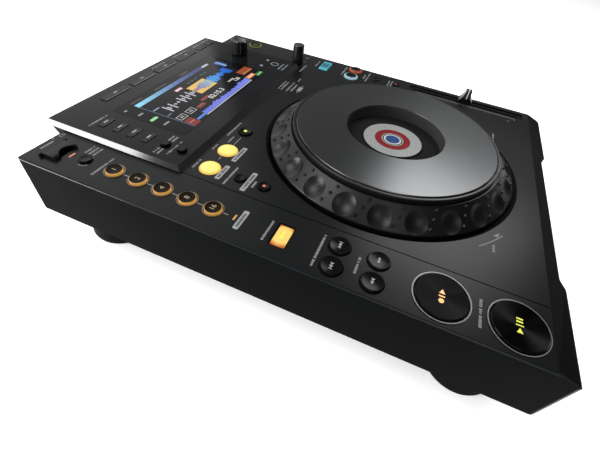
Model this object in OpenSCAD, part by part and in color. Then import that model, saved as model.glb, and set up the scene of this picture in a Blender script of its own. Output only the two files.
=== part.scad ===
// Tabletop disc player for DJ use: a front slot drive, a large jog wheel, a raised display
// panel, a tempo slider and sprung keys.
// Inside deck_frame(), x runs from the left side, y from the deck's front edge towards the
// back, and z up from the deck's top.

/* [Body] */
// Width across the side walls
body_w = 305; // [300:1:330]
// Length of the flat deck, front edge to back edge
deck_len = 354; // [350:1:375]
// How far the sloping nose reaches in front of the deck
nose_len = 15.4; // [13:0.2:20]
// How far the nose drops below the deck
nose_drop = 5.7; // [4:0.1:8]
// Height of the side walls
wall_h = 47; // [46:0.5:56]
// Thickness of the side walls
side_t = 2.5; // [2:0.1:3.5]
// Thickness of the deck
deck_t = 3; // [2.5:0.1:3.5]
// Rounding along the top of the side walls
edge_r = 1.6; // [0.8:0.1:2.2]
// Rounding of the front corners, seen from above
corner_r = 5; // [3:0.5:8]
// Rounding along the nose
nose_r = 3; // [1.5:0.5:4]
// Rounding at the foot of the side walls
bottom_r = 3; // [1.5:0.5:4]

/* [Underside] */
// Depth of the pan below the side walls
tub_h = 16; // [12:0.5:20]
// How far the pan stands in from the side walls
tub_in = 12; // [9:0.5:14]
// How far the pan stands back from the nose
tub_front = 8.5; // [7:0.5:10]
// How far the pan stands in from the deck's back edge
tub_back = 7; // [5:0.5:8]
// Rounding of the pan's corners
tub_r = 10; // [6:1:14]
// Thickness of the pan's sheet
sheet_t = 1.8; // [1.5:0.1:2.4]
// Height of the rubber feet
foot_h = 23; // [16:0.5:26]
// Radius of a foot at its top
foot_top_r = 24; // [20:0.5:24]
// Radius of a foot near the table
foot_r = 26.8; // [24.5:0.1:28]
// Distance of the feet from each side
foot_x = 40; // [38:0.5:50]
// Place of the front feet behind the deck's front edge
foot_front_y = 18.4; // [18:0.2:30]
// Distance of the rear feet from the deck's back edge
foot_back = 32.3; // [31:0.1:45]
// Radius of the case screws' shanks
screw_r = 1.3; // [1:0.1:1.4]

/* [Front and disc slot] */
// Thickness of the front fascia
fascia_t = 2.5; // [2:0.1:3]
// How far the middle of the fascia stands back
front_step = 5.4; // [3:0.2:6]
// Left end of the set-back middle, seen from the front
step_x = 64; // [50:1:70]
// Right end of the set-back middle, from the right side
step_right = 74; // [60:1:80]
// Width of each blend
step_blend = 10; // [6:1:14]
// Centre of the disc slot from the middle of the body, to the left
slot_off = 5; // [0:0.5:8]
// Width of the disc slot
slot_w = 125; // [123:0.5:130]
// Height of the disc slot
slot_h = 5.4; // [5:0.1:6]
// Depth of the slot's middle below the deck
slot_drop = 26; // [25:0.5:28]

/* [Jog wheel] */
// Jog wheel's centre from the middle of the body
jog_off = 2.5; // [0:0.5:4]
// Deck between the jog's round rim and the nearer side
jog_side = 44.1; // [43:0.1:46]
// Deck between the jog's round rim and the raised panel
jog_back = 22.8; // [22:0.1:24]
// Width and depth of the bevel inside the rim
rim_bevel = 2.9; // [0.8:0.1:3]
// Gap between the rim's bevel and the wheel
jog_gap = 1.3; // [1:0.1:2]
// Depth of the jog well
well_depth = 8; // [7:0.5:9]
// Height of the wheel's shoulder, where the dimpled slope starts
slope_z = 1.5; // [0.5:0.1:2.5]
// Width of the dimpled slope, seen from above
slope_w = 15.2; // [14:0.1:16]
// Height of the top of the dimpled slope
lip_z = 14; // [13:0.1:15]
// Number of finger dimples
dimple_count = 24; // [18:1:26]
// Radius of a finger dimple
dimple_r = 8.2; // [6:0.1:8.6]
// Depth of a finger dimple
dimple_depth = 2.2; // [1:0.1:2.4]
// From the top of the slope in to the metal top plate
plate_step = 4.6; // [4.4:0.1:6]
// Height of the plate's top above the deck
plate_z = 18.3; // [18:0.1:20]
// Thickness of the top plate
plate_t = 2.8; // [1.5:0.1:3]
// Radius of the round opening in the plate
eye_r = 40; // [36:0.5:44]
// Radius of the centre display
eye_screen_r = 25.1; // [25:0.1:28]
// Height of the centre display's face above the deck
eye_screen_z = 9.2; // [8.8:0.1:10]
// Radius of the fixed post that the wheel turns on
post_r = 22; // [16:0.5:22]

/* [Display panel] */
// Left edge of the raised panel
panel_x = 42.4; // [42:0.1:43]
// Right edge of the raised panel from the right side
panel_right = 45; // [44.5:0.1:46]
// How far the panel's left face leans out
panel_flare = 2; // [1:0.1:2.4]
// Front edge of the raised panel, from the deck's back edge
panel_len = 104; // [103:0.5:106]
// Height of the panel above the deck
panel_h = 4.5; // [4.2:0.1:6]
// Thickness of the panel's top
panel_t = 2.8; // [2.2:0.1:3]
// How far the hood reaches behind the deck
hood_len = 18; // [16:0.5:22]
// How far the hood's sloping underside reaches below the deck
hood_drop = 22.5; // [20:0.5:24]
// Left edge of the window from the panel's left edge
window_off = 33.6; // [33:0.1:36]
// Right edge of the window from the panel's right edge
window_right = 40.5; // [40:0.5:44]
// Depth of the window, front to back
window_d = 68.5; // [64:0.5:70]
// Front edge of the window from the panel's front edge
window_y = 21; // [19:0.5:22]
// Thickness of the window glass
glass_t = 1.5; // [1:0.1:1.6]

/* [Keys on the deck] */
// Centre line of the left key column
left_x = 20.6; // [20.4:0.1:21]
// Radius of the two large keys
big_key_r = 15.8; // [13:0.1:16]
// Distance between the two large keys
big_key_pitch = 42.8; // [40:0.2:44]
// Place of the front large key
big_key_y = 18.9; // [18:0.1:19.5]
// Radius of the search keys
search_r = 7.3; // [6:0.1:7.4]
// Distance between the two keys of a search pair
search_pitch = 17.3; // [17:0.1:17.6]
// Place of the search pair
search_y = 100.8; // [100:0.2:102]
// Distance from the search pair to the track search pair
track_step = 25.2; // [20:0.2:26]
// Radius of the beat keys
beat_r = 6; // [5:0.1:6.5]
// Distance between two beat keys
beat_pitch = 19.6; // [18:0.1:19.8]
// Place of the front beat key
beat_y = 211; // [205:0.5:212]
// Radius of the lit loop keys
loop_r = 8; // [6:0.1:8.2]
// Radius of the keys in the right column's pair
pair_r = 6.4; // [5:0.1:6.5]
// How far a key cap stands above its plate
key_rise = 1.6; // [1:0.1:2.4]
// How far the small and the panel's keys stand above their plate
small_rise = 0.9; // [0.6:0.1:1.6]
// How far a deck key goes down
key_travel = 1; // [0.6:0.1:1.4]

/* [Knobs and slider] */
// Radius of the rotary selector
selector_r = 8.9; // [8:0.1:10.4]
// Height of the rotary selector
selector_h = 13.5; // [10:0.5:15]
// Radius of the speed knob
speed_r = 6.5; // [5:0.1:6.8]
// Height of the speed knob's top above the deck
speed_h = 20; // [14:0.5:22]
// Middle of the tempo slider's slot
tempo_y = 66.5; // [64:0.5:67]
// How far the slider goes each way
tempo_travel = 50; // [40:1:50]
// Width of the slot's sunk bed
tempo_w = 12.5; // [10:0.1:12.6]
// Height of the slider's cap above the deck
cap_h = 12.8; // [8:0.2:14]

/* [Fits] */
// Gap between a key and its hole
key_gap = 0.35; // [0.3:0.05:0.45]
// Gap at a seam between two covers
seam = 0.2; // [0.1:0.05:0.25]
// Running clearance of a shaft in its bore
running = 0.07; // [0.05:0.01:0.1]

/* [Hidden] */
$fn = 64;
e = 0.1;
mid_y = (deck_len + hood_len - nose_len) / 2;
deck_z = wall_h + tub_h + foot_h;
nose_a = atan(nose_drop / nose_len);
right_x = body_w - 18;
jog_x = body_w / 2 + jog_off;
rim_r = body_w / 2 - jog_off - jog_side;
well_r = rim_r - rim_bevel;
jog_r = well_r - jog_gap;
lip_r = jog_r - slope_w;
plate_r = lip_r - plate_step;
slot_x = body_w / 2 - slot_off;
step_w = body_w - step_x - step_right;
well_t = 2;
hood_y = deck_len + hood_len;
panel_y = deck_len - panel_len;
panel_w = body_w - panel_x - panel_right;
jog_y = panel_y - jog_back - rim_r;
front_slant = 3;
window_w = panel_w - window_off - window_right;
window_x = panel_x + window_off;
window_z = panel_y + window_y;
slope_a = atan((lip_z - slope_z) / slope_w);
dimple_start = 7;
track_y = search_y + track_step;
beat_count = 5;
flange_t = 1.2;
flange_w = 1.2;
panel_flange_t = 0.8;
panel_travel = 0.5;
big_travel = 1.5;
board_t = 1.6;
key_board_z = -12;
panel_board_z = -6;
menu_board_z = -5.2;
switch_h = 3.4;
ring_seat = 0.8;
loop_y = panel_y - 14;
loop_x = panel_x + 14.1;
loop_pitch = 25.3;
usb_y = deck_len - 18.6;
usb_well = [16.6, 9.6];
usb_board_z = -22.8;
lid_w = 19.2;
lid_x = left_x - 1.2;
lid_front = usb_y - 6;
lid_axis = [usb_y + 6.6, 1.6];
tempo_x = body_w - 13.8;
slit_w = 3.4;
speed_at = [body_w - 32.2, deck_len - 97.5];
selector_at = [panel_x + panel_w - 16, deck_len - 38];
shaft_r = 3;
socket_z = 13 - wall_h;
bay_top = slot_h / 2 + 0.8;
roller_r = 4.2;
roller_y = 4;
spindle_y = 64;
drive_w = slot_w + 19;
drive_len = 138;
drive_y = front_step + 4.6 + seam - nose_len;

play_at = [left_x, big_key_y];
cue_at = [left_x, big_key_y + big_key_pitch];
direction_at = [left_x, track_y + 35.5];
stop_at = [left_x, deck_len - 39.5];
four_at = [loop_x, loop_y - 25];
slip_at = [loop_x, loop_y - 44];
reloop_at = [loop_x + 55.5, loop_y + 0.8];
eject_at = [body_w - 16.5, deck_len - 35];
mode_at = [right_x - 2.6, deck_len - 128];
pair_x = body_w - 20.6;
pair_pitch = 19.8;
pair_y = deck_len - 162;
range_at = [right_x - 2, tempo_y + 99];
master_tempo_at = [right_x - 1, tempo_y + 76];
menu_y = hood_y - 14.5;
menu_x = panel_x + 57.6;
menu_pitch = (panel_w - 114.4) / 3;
short_x = panel_x + panel_w - 28.6;
media_x = panel_x + 17.6;
media_y = panel_y + 41;
media_pitch = 13.3;
dot_key_y = panel_y + 11;
dot_key_pitch = 14.5;

// [place, radius] of the round keys that sit in the deck
round_keys = concat([
    [play_at, big_key_r], [cue_at, big_key_r],
    [[left_x - search_pitch / 2, search_y], search_r],
    [[left_x + search_pitch / 2, search_y], search_r],
    [[left_x - search_pitch / 2, track_y], search_r],
    [[left_x + search_pitch / 2, track_y], search_r],
    [stop_at, 4.6], [[loop_x, loop_y], loop_r], [[loop_x + loop_pitch, loop_y], loop_r],
    [reloop_at, 5.8], [four_at, 4.3], [slip_at, 4.6], [eject_at, 6],
    [[pair_x - pair_pitch / 2, pair_y], pair_r], [[pair_x + pair_pitch / 2, pair_y], pair_r],
    [range_at, 4.3], [master_tempo_at, 4.3]
], [for (i = [0:beat_count - 1]) [[left_x, beat_y + i * beat_pitch], beat_r]]);
// [place, radius, ring width, ring height] of the keys with a bright ring
ringed_keys = concat([
    [play_at, big_key_r, 1, 0.5], [cue_at, big_key_r, 1, 0.5], [eject_at, 6, 0.8, 0.6],
    [[pair_x - pair_pitch / 2, pair_y], pair_r, 0.8, 1.3],
        [[pair_x + pair_pitch / 2, pair_y], pair_r, 0.8, 1.3]
], [for (i = [0:beat_count - 1]) [[left_x, beat_y + i * beat_pitch], beat_r, 0.8, 0.5]]);
direction_size = [17, 9];
mode_size = [21, 9.6];
menu_gap = 4.4;
menu_size = [menu_pitch - menu_gap, 6.4];
short_size = [13, 6.4];
media_size = [13, 4.8];
dot_key_r = 3.6;
screw_y = [8, deck_len * 0.32, deck_len * 0.64, deck_len - 12];
left_posts = [[38, 90], [38, 140], [38, 205], [38, 300], [5.5, 148], [5.5, 182]];
right_posts = [[-36.5, -204], [-6, -184], [-36.5, -143], [-6, -109], [-36.5, -64], [-6, -54]];
loop_posts = [[-8.3, -34.5], [-8.3, 10], [40.5, 4]];
panel_posts = [for (y = [9, 88], x = [9, panel_w - 97.6, panel_w - 17.6]) [x, y]];

// Points on an arc about c, from angle a0 to a1
function arc(c, r, a0, a1, n = 6) =
    [for (i = [0:n]) c + r * [cos(a0 + (a1 - a0) * i / n), sin(a0 + (a1 - a0) * i / n)]];

// Puts children given in deck coordinates into the part's own frame
module deck_frame() translate([-body_w / 2, -mid_y, deck_z]) children();

// Extrudes a shape drawn as (y, z) along x
module along_x(x0, len) translate([x0, 0, 0]) rotate([90, 0, 90]) linear_extrude(len) children();

// Extrudes a shape drawn as (x, z) along y
module along_y(y0, len) translate([0, y0 + len, 0]) rotate([90, 0, 0]) linear_extrude(len) children();

// A box between two corners
module box(a, b) translate(a) cube(b - a);

// A rectangle with round corners, centred
module round_rect(w, d, r) {
    square([w - 2 * r, d], center = true);
    square([w, d - 2 * r], center = true);
    for (x = [-1, 1], y = [-1, 1]) translate([x * (w / 2 - r), y * (d / 2 - r)]) circle(r);
}

// A slot with round ends, centred
module stadium(w, h) {
    square([w - h, h], center = true);
    for (x = [-1, 1]) translate([x * (w - h) / 2, 0]) circle(h / 2);
}

// Both sides of the body, left as drawn and right mirrored
module both_sides() {
    children();
    translate([body_w, 0, 0]) mirror([1, 0, 0]) children();
}

// ---- Body ----

// Side view of the body, from the nose to the back
module side_shape() polygon(concat(
    [[deck_len, 0], [0, 0]],
    arc([nose_r - nose_len, (nose_r - nose_len) * tan(nose_a) - nose_r / cos(nose_a)],
        nose_r, 90 + nose_a, 180),
    arc([bottom_r - nose_len, bottom_r - wall_h], bottom_r, 180, 270),
    arc([deck_len - bottom_r, bottom_r - wall_h], bottom_r, 270, 360)));

// Front view of the body, with its rounded top edges
module end_shape() polygon(concat(
    [[0, -wall_h]], arc([edge_r, -edge_r], edge_r, 180, 90, 4),
    arc([body_w - edge_r, -edge_r], edge_r, 90, 0, 4), [[body_w, -wall_h]]));

// Body seen from above
module plan_shape() polygon(concat(
    arc([corner_r, corner_r - nose_len], corner_r, 180, 270),
    arc([body_w - corner_r, corner_r - nose_len], corner_r, 270, 360),
    arc([body_w - 2, deck_len - 2], 2, 0, 90, 4), arc([2, deck_len - 2], 2, 90, 180, 4)));

// The whole outer form that the covers are cut from
module body_form() intersection() {
    along_x(0, body_w) side_shape();
    along_y(-nose_len, nose_len + deck_len) end_shape();
    translate([0, 0, -wall_h]) linear_extrude(wall_h) plan_shape();
}

module jog_well() translate([jog_x, jog_y, -well_depth - well_t])
    cylinder(h = well_depth + well_t - 1, r = well_r + well_t, $fn = 180);

module jog_well_cut() translate([jog_x, jog_y, 0]) {
    translate([0, 0, -well_depth]) cylinder(h = well_depth + 1, r = well_r, $fn = 180);
    translate([0, 0, -rim_bevel]) cylinder(h = 2 * rim_bevel, r1 = well_r, r2 = rim_r + rim_bevel,
        $fn = 180);
    translate([0, 0, -well_depth - well_t - 1]) cylinder(h = well_t + 2, r = post_r - 2 + seam);
}

// Screw posts along the foot of a side wall
module wall_posts() for (y = screw_y) difference() {
    union() {
        translate([7, y, -wall_h + sheet_t]) cylinder(h = 16, r = 3.4);
        box([side_t - e, y - 1.5, -wall_h + sheet_t], [7, y + 1.5, -wall_h + sheet_t + 16]);
    }
    translate([7, y, -wall_h + sheet_t - 1]) cylinder(h = 14, r = screw_r + seam);
}

// Posts under the deck that carry the key boards
module board_posts() {
    for (p = left_posts) translate([p[0], p[1], key_board_z]) post_up();
    for (p = right_posts) translate([body_w + p[0], deck_len + p[1], key_board_z]) post_up();
    for (p = loop_posts) translate([loop_x + p[0], loop_y + p[1], key_board_z]) post_up();
}
module post_up() cylinder(h = -key_board_z - deck_t + e, r = 2);

module key_holes() {
    for (k = round_keys) translate([k[0][0], k[0][1], -deck_t - 1])
        cylinder(h = deck_t + 2, r = k[1] + key_gap);
    for (k = ringed_keys) translate([k[0][0], k[0][1], -ring_seat])
        cylinder(h = 2, r = k[1] + key_gap + k[2] + 0.35);
    for (k = [[direction_at, direction_size], [mode_at, mode_size]]) {
        translate([k[0][0], k[0][1], -deck_t - 1]) linear_extrude(deck_t + 2)
            round_rect(k[1][0] + 2 * key_gap, k[1][1] + 2 * key_gap, 1);
        translate([k[0][0], k[0][1], -0.7]) linear_extrude(2)
            round_rect(k[1][0] + 3, k[1][1] + 3, 1.8);
    }
}

module slider_cut() {
    translate([tempo_x, tempo_y, -1.4]) linear_extrude(3)
        round_rect(tempo_w, 2 * tempo_travel + 21, 1);
    translate([tempo_x, tempo_y, -deck_t - 1]) linear_extrude(deck_t + 2)
        stadium_y(slit_w, 2 * tempo_travel + 12);
}
module stadium_y(w, d) rotate(90) stadium(d, w);

// The usb socket's guide below the deck with its posts, and the lid's two hinge ears and pins
module usb_guide() {
    for (x = [-11, 11]) translate([left_x + x, usb_y - 7, usb_board_z])
        cylinder(h = -usb_board_z - 1, r = 2);
    translate([left_x, usb_y, -9]) linear_extrude(9) square(usb_well + [2, 2], center = true);
    for (s = [-1, 1]) translate([lid_x + s * (lid_w / 2 + 0.3 + 0.75), 0, 0]) {
        translate([-0.75, 0, -0.5]) box([0, lid_axis[0] - 1.2, 0],
            [1.5, lid_axis[0] + 1.2, lid_axis[1] + 0.5]);
        translate([-0.75, lid_axis[0], lid_axis[1]]) rotate([0, 90, 0]) cylinder(h = 1.5, r = 1.2);
        translate([s < 0 ? 0 : -2.2, lid_axis[0], lid_axis[1]]) rotate([0, 90, 0])
            cylinder(h = 2.2, r = 0.5);
    }
}

module upper_case() color("#2b2c2e") deck_frame() difference() {
    union() {
        intersection() {
            body_form();
            union() {
                box([0, 0, -deck_t], [body_w, deck_len, e]);
                both_sides() box([0, -nose_len, -wall_h], [side_t, deck_len, e]);
            }
        }
        jog_well();
        both_sides() wall_posts();
        board_posts();
        usb_guide();
    }
    jog_well_cut();
    key_holes();
    slider_cut();
    translate([left_x, usb_y, -10]) linear_extrude(12) square(usb_well, center = true);
    box([panel_x + 6, panel_y + 7, -deck_t - 1], [panel_x + panel_w - 6, deck_len - 5, 1]);
    translate([speed_at[0], speed_at[1], -deck_t - 1]) cylinder(h = deck_t + 2, r = shaft_r + 0.6);
    // groove between the left column and the jog deck
    box([panel_x - 0.4, -e, -0.5], [panel_x + 0.4, panel_y - seam, 1]);
}

// Outline of the fascia's front, seen from above, with its set-back middle
function blend(x0, y0, y1) = [for (i = [0:8]) [x0 + step_blend * i / 8,
    y0 + (y1 - y0) * (1 - cos(22.5 * i)) / 2]];
module fascia_plan(back) polygon(concat(
    [[side_t + seam, back], [side_t + seam, -nose_len]],
    blend(step_x, -nose_len, -nose_len + front_step),
    blend(step_x + step_w - step_blend, -nose_len + front_step, -nose_len),
    [[body_w - side_t - seam, -nose_len], [body_w - side_t - seam, back]]));

module fascia_form() intersection() {
    body_form();
    translate([0, 0, -wall_h + sheet_t]) linear_extrude(wall_h) fascia_plan(-seam);
}

module front_fascia() color("#232426") deck_frame() difference() {
    union() {
        difference() {
            fascia_form();
            intersection() {
                translate([0, fascia_t, -fascia_t]) body_form();
                translate([0, fascia_t, -wall_h]) linear_extrude(wall_h) intersection() {
                    fascia_plan(2 * nose_len);
                    translate([side_t + seam + fascia_t, -nose_len])
                        square([body_w - 2 * (side_t + seam + fascia_t), 3 * nose_len]);
                }
            }
        }
        // tongue that hooks under the deck's front edge
        box([30, -4, -deck_t - seam - 2], [body_w - 30, 0.5, -deck_t - seam]);
        // rim round the slot, inside
        translate([slot_x, 0, -slot_drop]) along_y(-nose_len + front_step + 1, 3.6)
            stadium(slot_w + 5, slot_h + 5);
    }
    translate([slot_x, 0, -slot_drop]) {
        along_y(-nose_len, nose_len + 5) stadium(slot_w, slot_h);
        along_y(-nose_len, front_step + 0.8) stadium(slot_w + 2.4, slot_h + 2.4);
    }
}

module pan_shape(inset) translate([body_w / 2, (deck_len - tub_back + tub_front - nose_len) / 2])
    round_rect(body_w - 2 * tub_in - 2 * inset,
        deck_len - tub_back + nose_len - tub_front - 2 * inset, tub_r - inset);

pan_z = -wall_h - tub_h;
floor_z = pan_z + sheet_t;
feet_at = [for (x = [foot_x, body_w - foot_x], y = [foot_front_y, deck_len - foot_back]) [x, y]];
board_z = pan_z + 11.5;
main_board = [[26, deck_len - 200], [body_w - 115, deck_len - 22]];
power_board = [[body_w - 105, deck_len - 130], [body_w - 18, deck_len - 22]];
function corners(b, m) = [for (x = [b[0][0] + m, b[1][0] - m], y = [b[0][1] + m, b[1][1] - m]) [x, y]];
board_feet = concat(corners(main_board, 5), corners(power_board, 5));
drive_feet = [for (x = [-1, 1], y = [16, drive_len - 12]) [slot_x + x * (drive_w / 2 + 4), drive_y + y]];

module bottom_case() color("#3a3b3d") deck_frame() difference() {
    union() {
        intersection() {
            body_form();
            box([side_t + seam, -nose_len, -wall_h],
                [body_w - side_t - seam, deck_len, -wall_h + sheet_t - 0.02]);
        }
        translate([0, 0, pan_z]) linear_extrude(tub_h + sheet_t / 2) pan_shape(0);
        for (p = board_feet) translate([p[0], p[1], floor_z - e])
            cylinder(h = board_z - floor_z + e, r = 3);
    }
    difference() {
        translate([0, 0, floor_z]) linear_extrude(tub_h + 5) pan_shape(sheet_t);
        for (p = board_feet) translate([p[0], p[1], floor_z - e])
            cylinder(h = board_z - floor_z + e, r = 3);
        for (p = drive_feet) translate([p[0], p[1], floor_z - e])
            cylinder(h = -wall_h + 4 - floor_z + e, r = 3.5);
    }
    for (p = feet_at) translate([p[0], p[1], pan_z - 1]) cylinder(h = sheet_t + 2, r = 2.3);
    both_sides() for (y = screw_y) translate([7, y, -wall_h - 1])
        cylinder(h = sheet_t + 2, r = screw_r + seam);
    // vents under the power supply and the drive
    for (i = [0:7]) {
        translate([power_board[0][0] + 10 + i * 8, deck_len - 100, pan_z - 1]) linear_extrude(sheet_t + 2)
            stadium_y(3, 40);
        translate([slot_x - 57 + i * 8, 100, pan_z - 1]) linear_extrude(sheet_t + 2) stadium_y(3, 40);
    }
}

module rear_panel() color("#2a2b2d") deck_frame() difference() {
    box([side_t + seam, deck_len - 2.6, -wall_h + sheet_t],
        [body_w - side_t - seam, deck_len - 0.2, -deck_t - seam]);
    for (x = phono_x) translate([x, 0, socket_z]) along_y(deck_len - 5, 8) circle(5);
    translate([jack_x, 0, socket_z]) along_y(deck_len - 5, 8) circle(3.6);
    translate([lan_x, 0, socket_z]) along_y(deck_len - 5, 8) square([15.6, 13.2], center = true);
    translate([usb_b_x, 0, socket_z]) along_y(deck_len - 5, 8) square([12.6, 11.4], center = true);
    translate([inlet_x, 0, socket_z]) along_y(deck_len - 5, 8) square([28.6, 20.6], center = true);
    translate([switch_x, 0, socket_z]) along_y(deck_len - 5, 8) square([15.4, 19.6], center = true);
}
phono_x = [body_w - 155, body_w - 141, body_w - 119];
jack_x = body_w - 103;
lan_x = body_w - 203;
usb_b_x = body_w - 179;
inlet_x = body_w - 45;
switch_x = body_w - 80;

// ---- Display panel ----

module panel_form(inset) along_x(panel_x + inset, panel_w - 2 * inset) children();
// Front view of the panel, with its left face leaning out over a shadow gap
module panel_end() polygon([
    [panel_x, panel_h], [panel_x - panel_flare, 0.8], [panel_x - panel_flare, 0.5], [panel_x + 0.6, 0.5],
    [panel_x + 0.6, -hood_drop - 1], [panel_x + panel_w, -hood_drop - 1], [panel_x + panel_w, panel_h]]);
module panel_side() polygon([
    [panel_y, 0], [panel_y + front_slant, panel_h], [hood_y - 1.6, panel_h], [hood_y, panel_h - 1.4],
    [hood_y, 0.8], [deck_len + 0.2, -hood_drop], [deck_len + 0.2, 0]]);
module panel_hollow() polygon([
    [panel_y + front_slant + 2.5, -e], [panel_y + front_slant + 2.5, panel_h - panel_t],
    [hood_y - 2.6, panel_h - panel_t], [hood_y - 2.6, 1], [deck_len + 2.7, 7 - hood_drop],
    [deck_len + 2.7, -e]]);

module window_place() translate([window_x + window_w / 2, window_z + window_d / 2, 0]) children();

module display_housing() color("#303133") deck_frame() difference() {
    union() {
        difference() {
            intersection() {
                panel_form(-panel_flare - 1) panel_side();
                along_y(panel_y - 1, hood_y - panel_y + 2) panel_end();
            }
            panel_form(2.5) panel_hollow();
        }
        for (p = panel_posts) translate([panel_x + p[0], panel_y + p[1], panel_board_z])
            cylinder(h = panel_h - panel_board_z - 1, r = 2.2);
        // collar that guides the selector's shaft
        translate([selector_at[0], selector_at[1], -0.4]) cylinder(h = panel_h + 0.4, r = 5.5);
    }
    window_place() translate([0, 0, panel_h - glass_t]) linear_extrude(glass_t + 1)
        round_rect(window_w + 2 * seam, window_d + 2 * seam, 2.2);
    window_place() translate([0, 0, -1]) linear_extrude(panel_h + 2)
        square([window_w - 3, window_d - 3], center = true);
    for (i = [0:3]) panel_hole([menu_x + i * menu_pitch, menu_y], menu_size);
    for (i = [0:1]) panel_hole([short_x + i * 17.5, menu_y], short_size);
    for (i = [0:3]) panel_hole([media_x, media_y + i * media_pitch], media_size);
    for (i = [0:1]) translate([media_x - 1, dot_key_y + i * dot_key_pitch, -1])
        cylinder(h = panel_h + 2, r = dot_key_r + key_gap);
    translate([selector_at[0], selector_at[1], -1]) cylinder(h = panel_h + 2, r = shaft_r + 0.4);
}
module panel_hole(at, size) translate([at[0], at[1], -1]) linear_extrude(panel_h + 2)
    round_rect(size[0] + 2 * key_gap, size[1] + 2 * key_gap, 1);

module display_screen() color("#0c0d10") deck_frame() window_place() {
    translate([0, 0, panel_h - glass_t]) linear_extrude(glass_t) round_rect(window_w, window_d, 2);
    translate([0, 0, panel_h - glass_t - 4.2]) linear_extrude(4.2)
        square([window_w - 9, window_d - 7], center = true);
}

// ---- Jog wheel ----

module jog_place() translate([jog_x, jog_y, 0]) children();
jog_t = 3;
hub_bottom = 0.3 + 1.7 - well_depth;
hub_top = eye_screen_z - 3.2;
plate_seat = plate_z - plate_t;
hub_out = post_r + 4;

// Half section of the wheel, as (radius, height)
module jog_section() polygon([
    [post_r + running, hub_bottom], [hub_out, hub_bottom], [hub_out, hub_top],
    [eye_r + 2.5, hub_top], [eye_r + 2.5, plate_seat - jog_t], [lip_r - 4.5, plate_seat - jog_t],
    [jog_r - 3.2, slope_z - 1.3], [jog_r - 3.2, -5], [jog_r - 0.4, -5], [jog_r, -4.6],
    [jog_r, slope_z - 0.6], [jog_r - 0.3, slope_z], [lip_r + 0.4, lip_z - 0.2], [lip_r, lip_z],
    [lip_r - 0.6, lip_z], [lip_r - 0.8, lip_z - 1.8], [plate_r + 3.1, lip_z - 1.8],
        [plate_r + 2.9, plate_z - 1.4],
    [plate_r + 2.3, plate_z - 0.8],
    [plate_r + 0.8, plate_z - 0.8], [plate_r + 0.4, plate_seat], [eye_r, plate_seat],
    [eye_r, hub_top + 2], [eye_screen_r + 0.6, hub_top + 2], [eye_screen_r + 0.6, hub_top],
    [post_r + running, hub_top]]);

// Places children on the slope at a share of its length, facing out
module on_slope(angle, share) rotate(angle)
    translate([jog_r + (lip_r - jog_r) * share, 0, slope_z + (lip_z - slope_z) * share])
    rotate([0, 90 - slope_a, 0]) children();

module jog_wheel() color("#1d1e20") deck_frame() jog_place() {
    dimple_ball = (dimple_r * dimple_r + dimple_depth * dimple_depth) / (2 * dimple_depth);
    difference() {
        rotate_extrude($fn = 180) jog_section();
        for (i = [0:dimple_count - 1]) on_slope(dimple_start + i * 360 / dimple_count, 0.54)
            translate([0, 0, dimple_ball - dimple_depth]) sphere(dimple_ball);
    }
    // rows of three small bumps between the dimples, a little askew
    for (i = [0:dimple_count - 1], s = [0.2, 0.54, 0.86])
        on_slope(dimple_start + (i + 0.5) * 360 / dimple_count + 5 * (s - 0.54), s)
            translate([0, 0, -1]) cylinder(h = 1.9, r1 = 1.9, r2 = 0.8, $fn = 20);
}

module jog_plate() color("#8b8d90") deck_frame() jog_place() rotate_extrude($fn = 180) polygon([
    [eye_r + 0.3, plate_seat], [plate_r, plate_seat], [plate_r, plate_z - 0.5], [plate_r - 0.5, plate_z],
    [eye_r + 0.9, plate_z], [eye_r + 0.3, plate_z - 0.5]]);

// Fixed post with its bearing sleeve, clamp nut and the round display on top
module jog_post() color("#d9dadb") deck_frame() jog_place() difference() {
    union() {
        translate([0, 0, -well_depth]) cylinder(h = 1.7, r = post_r + 12);
        translate([0, 0, -well_depth]) cylinder(h = well_depth + hub_top + 0.3 + e, r = post_r);
        translate([0, 0, hub_top + 0.3]) cylinder(h = eye_screen_z - hub_top - 0.3, r = eye_screen_r);
        translate([0, 0, -well_depth - well_t - 4]) cylinder(h = well_t + 5, r = post_r - 2);
        translate([0, 0, -well_depth - well_t - 4]) cylinder(h = 4, r = post_r + 2);
    }
    translate([0, 0, -well_depth - well_t - 5]) cylinder(h = well_depth + well_t + 5 + hub_top - 2, r = 8);
}

// ---- Slot drive ----

module drive_box(x0, x1, y0, y1, z0, z1) box([slot_x + x0, y0, z0], [slot_x + x1, y1, z1]);
drive_bottom = -wall_h + 4;
bay_floor = -slot_drop - slot_h / 2;
plate_low = bay_floor - 4.6;

module disc_drive() color("#a3a6a9") deck_frame() {
    drive_frame();
    drive_inner();
}

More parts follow.
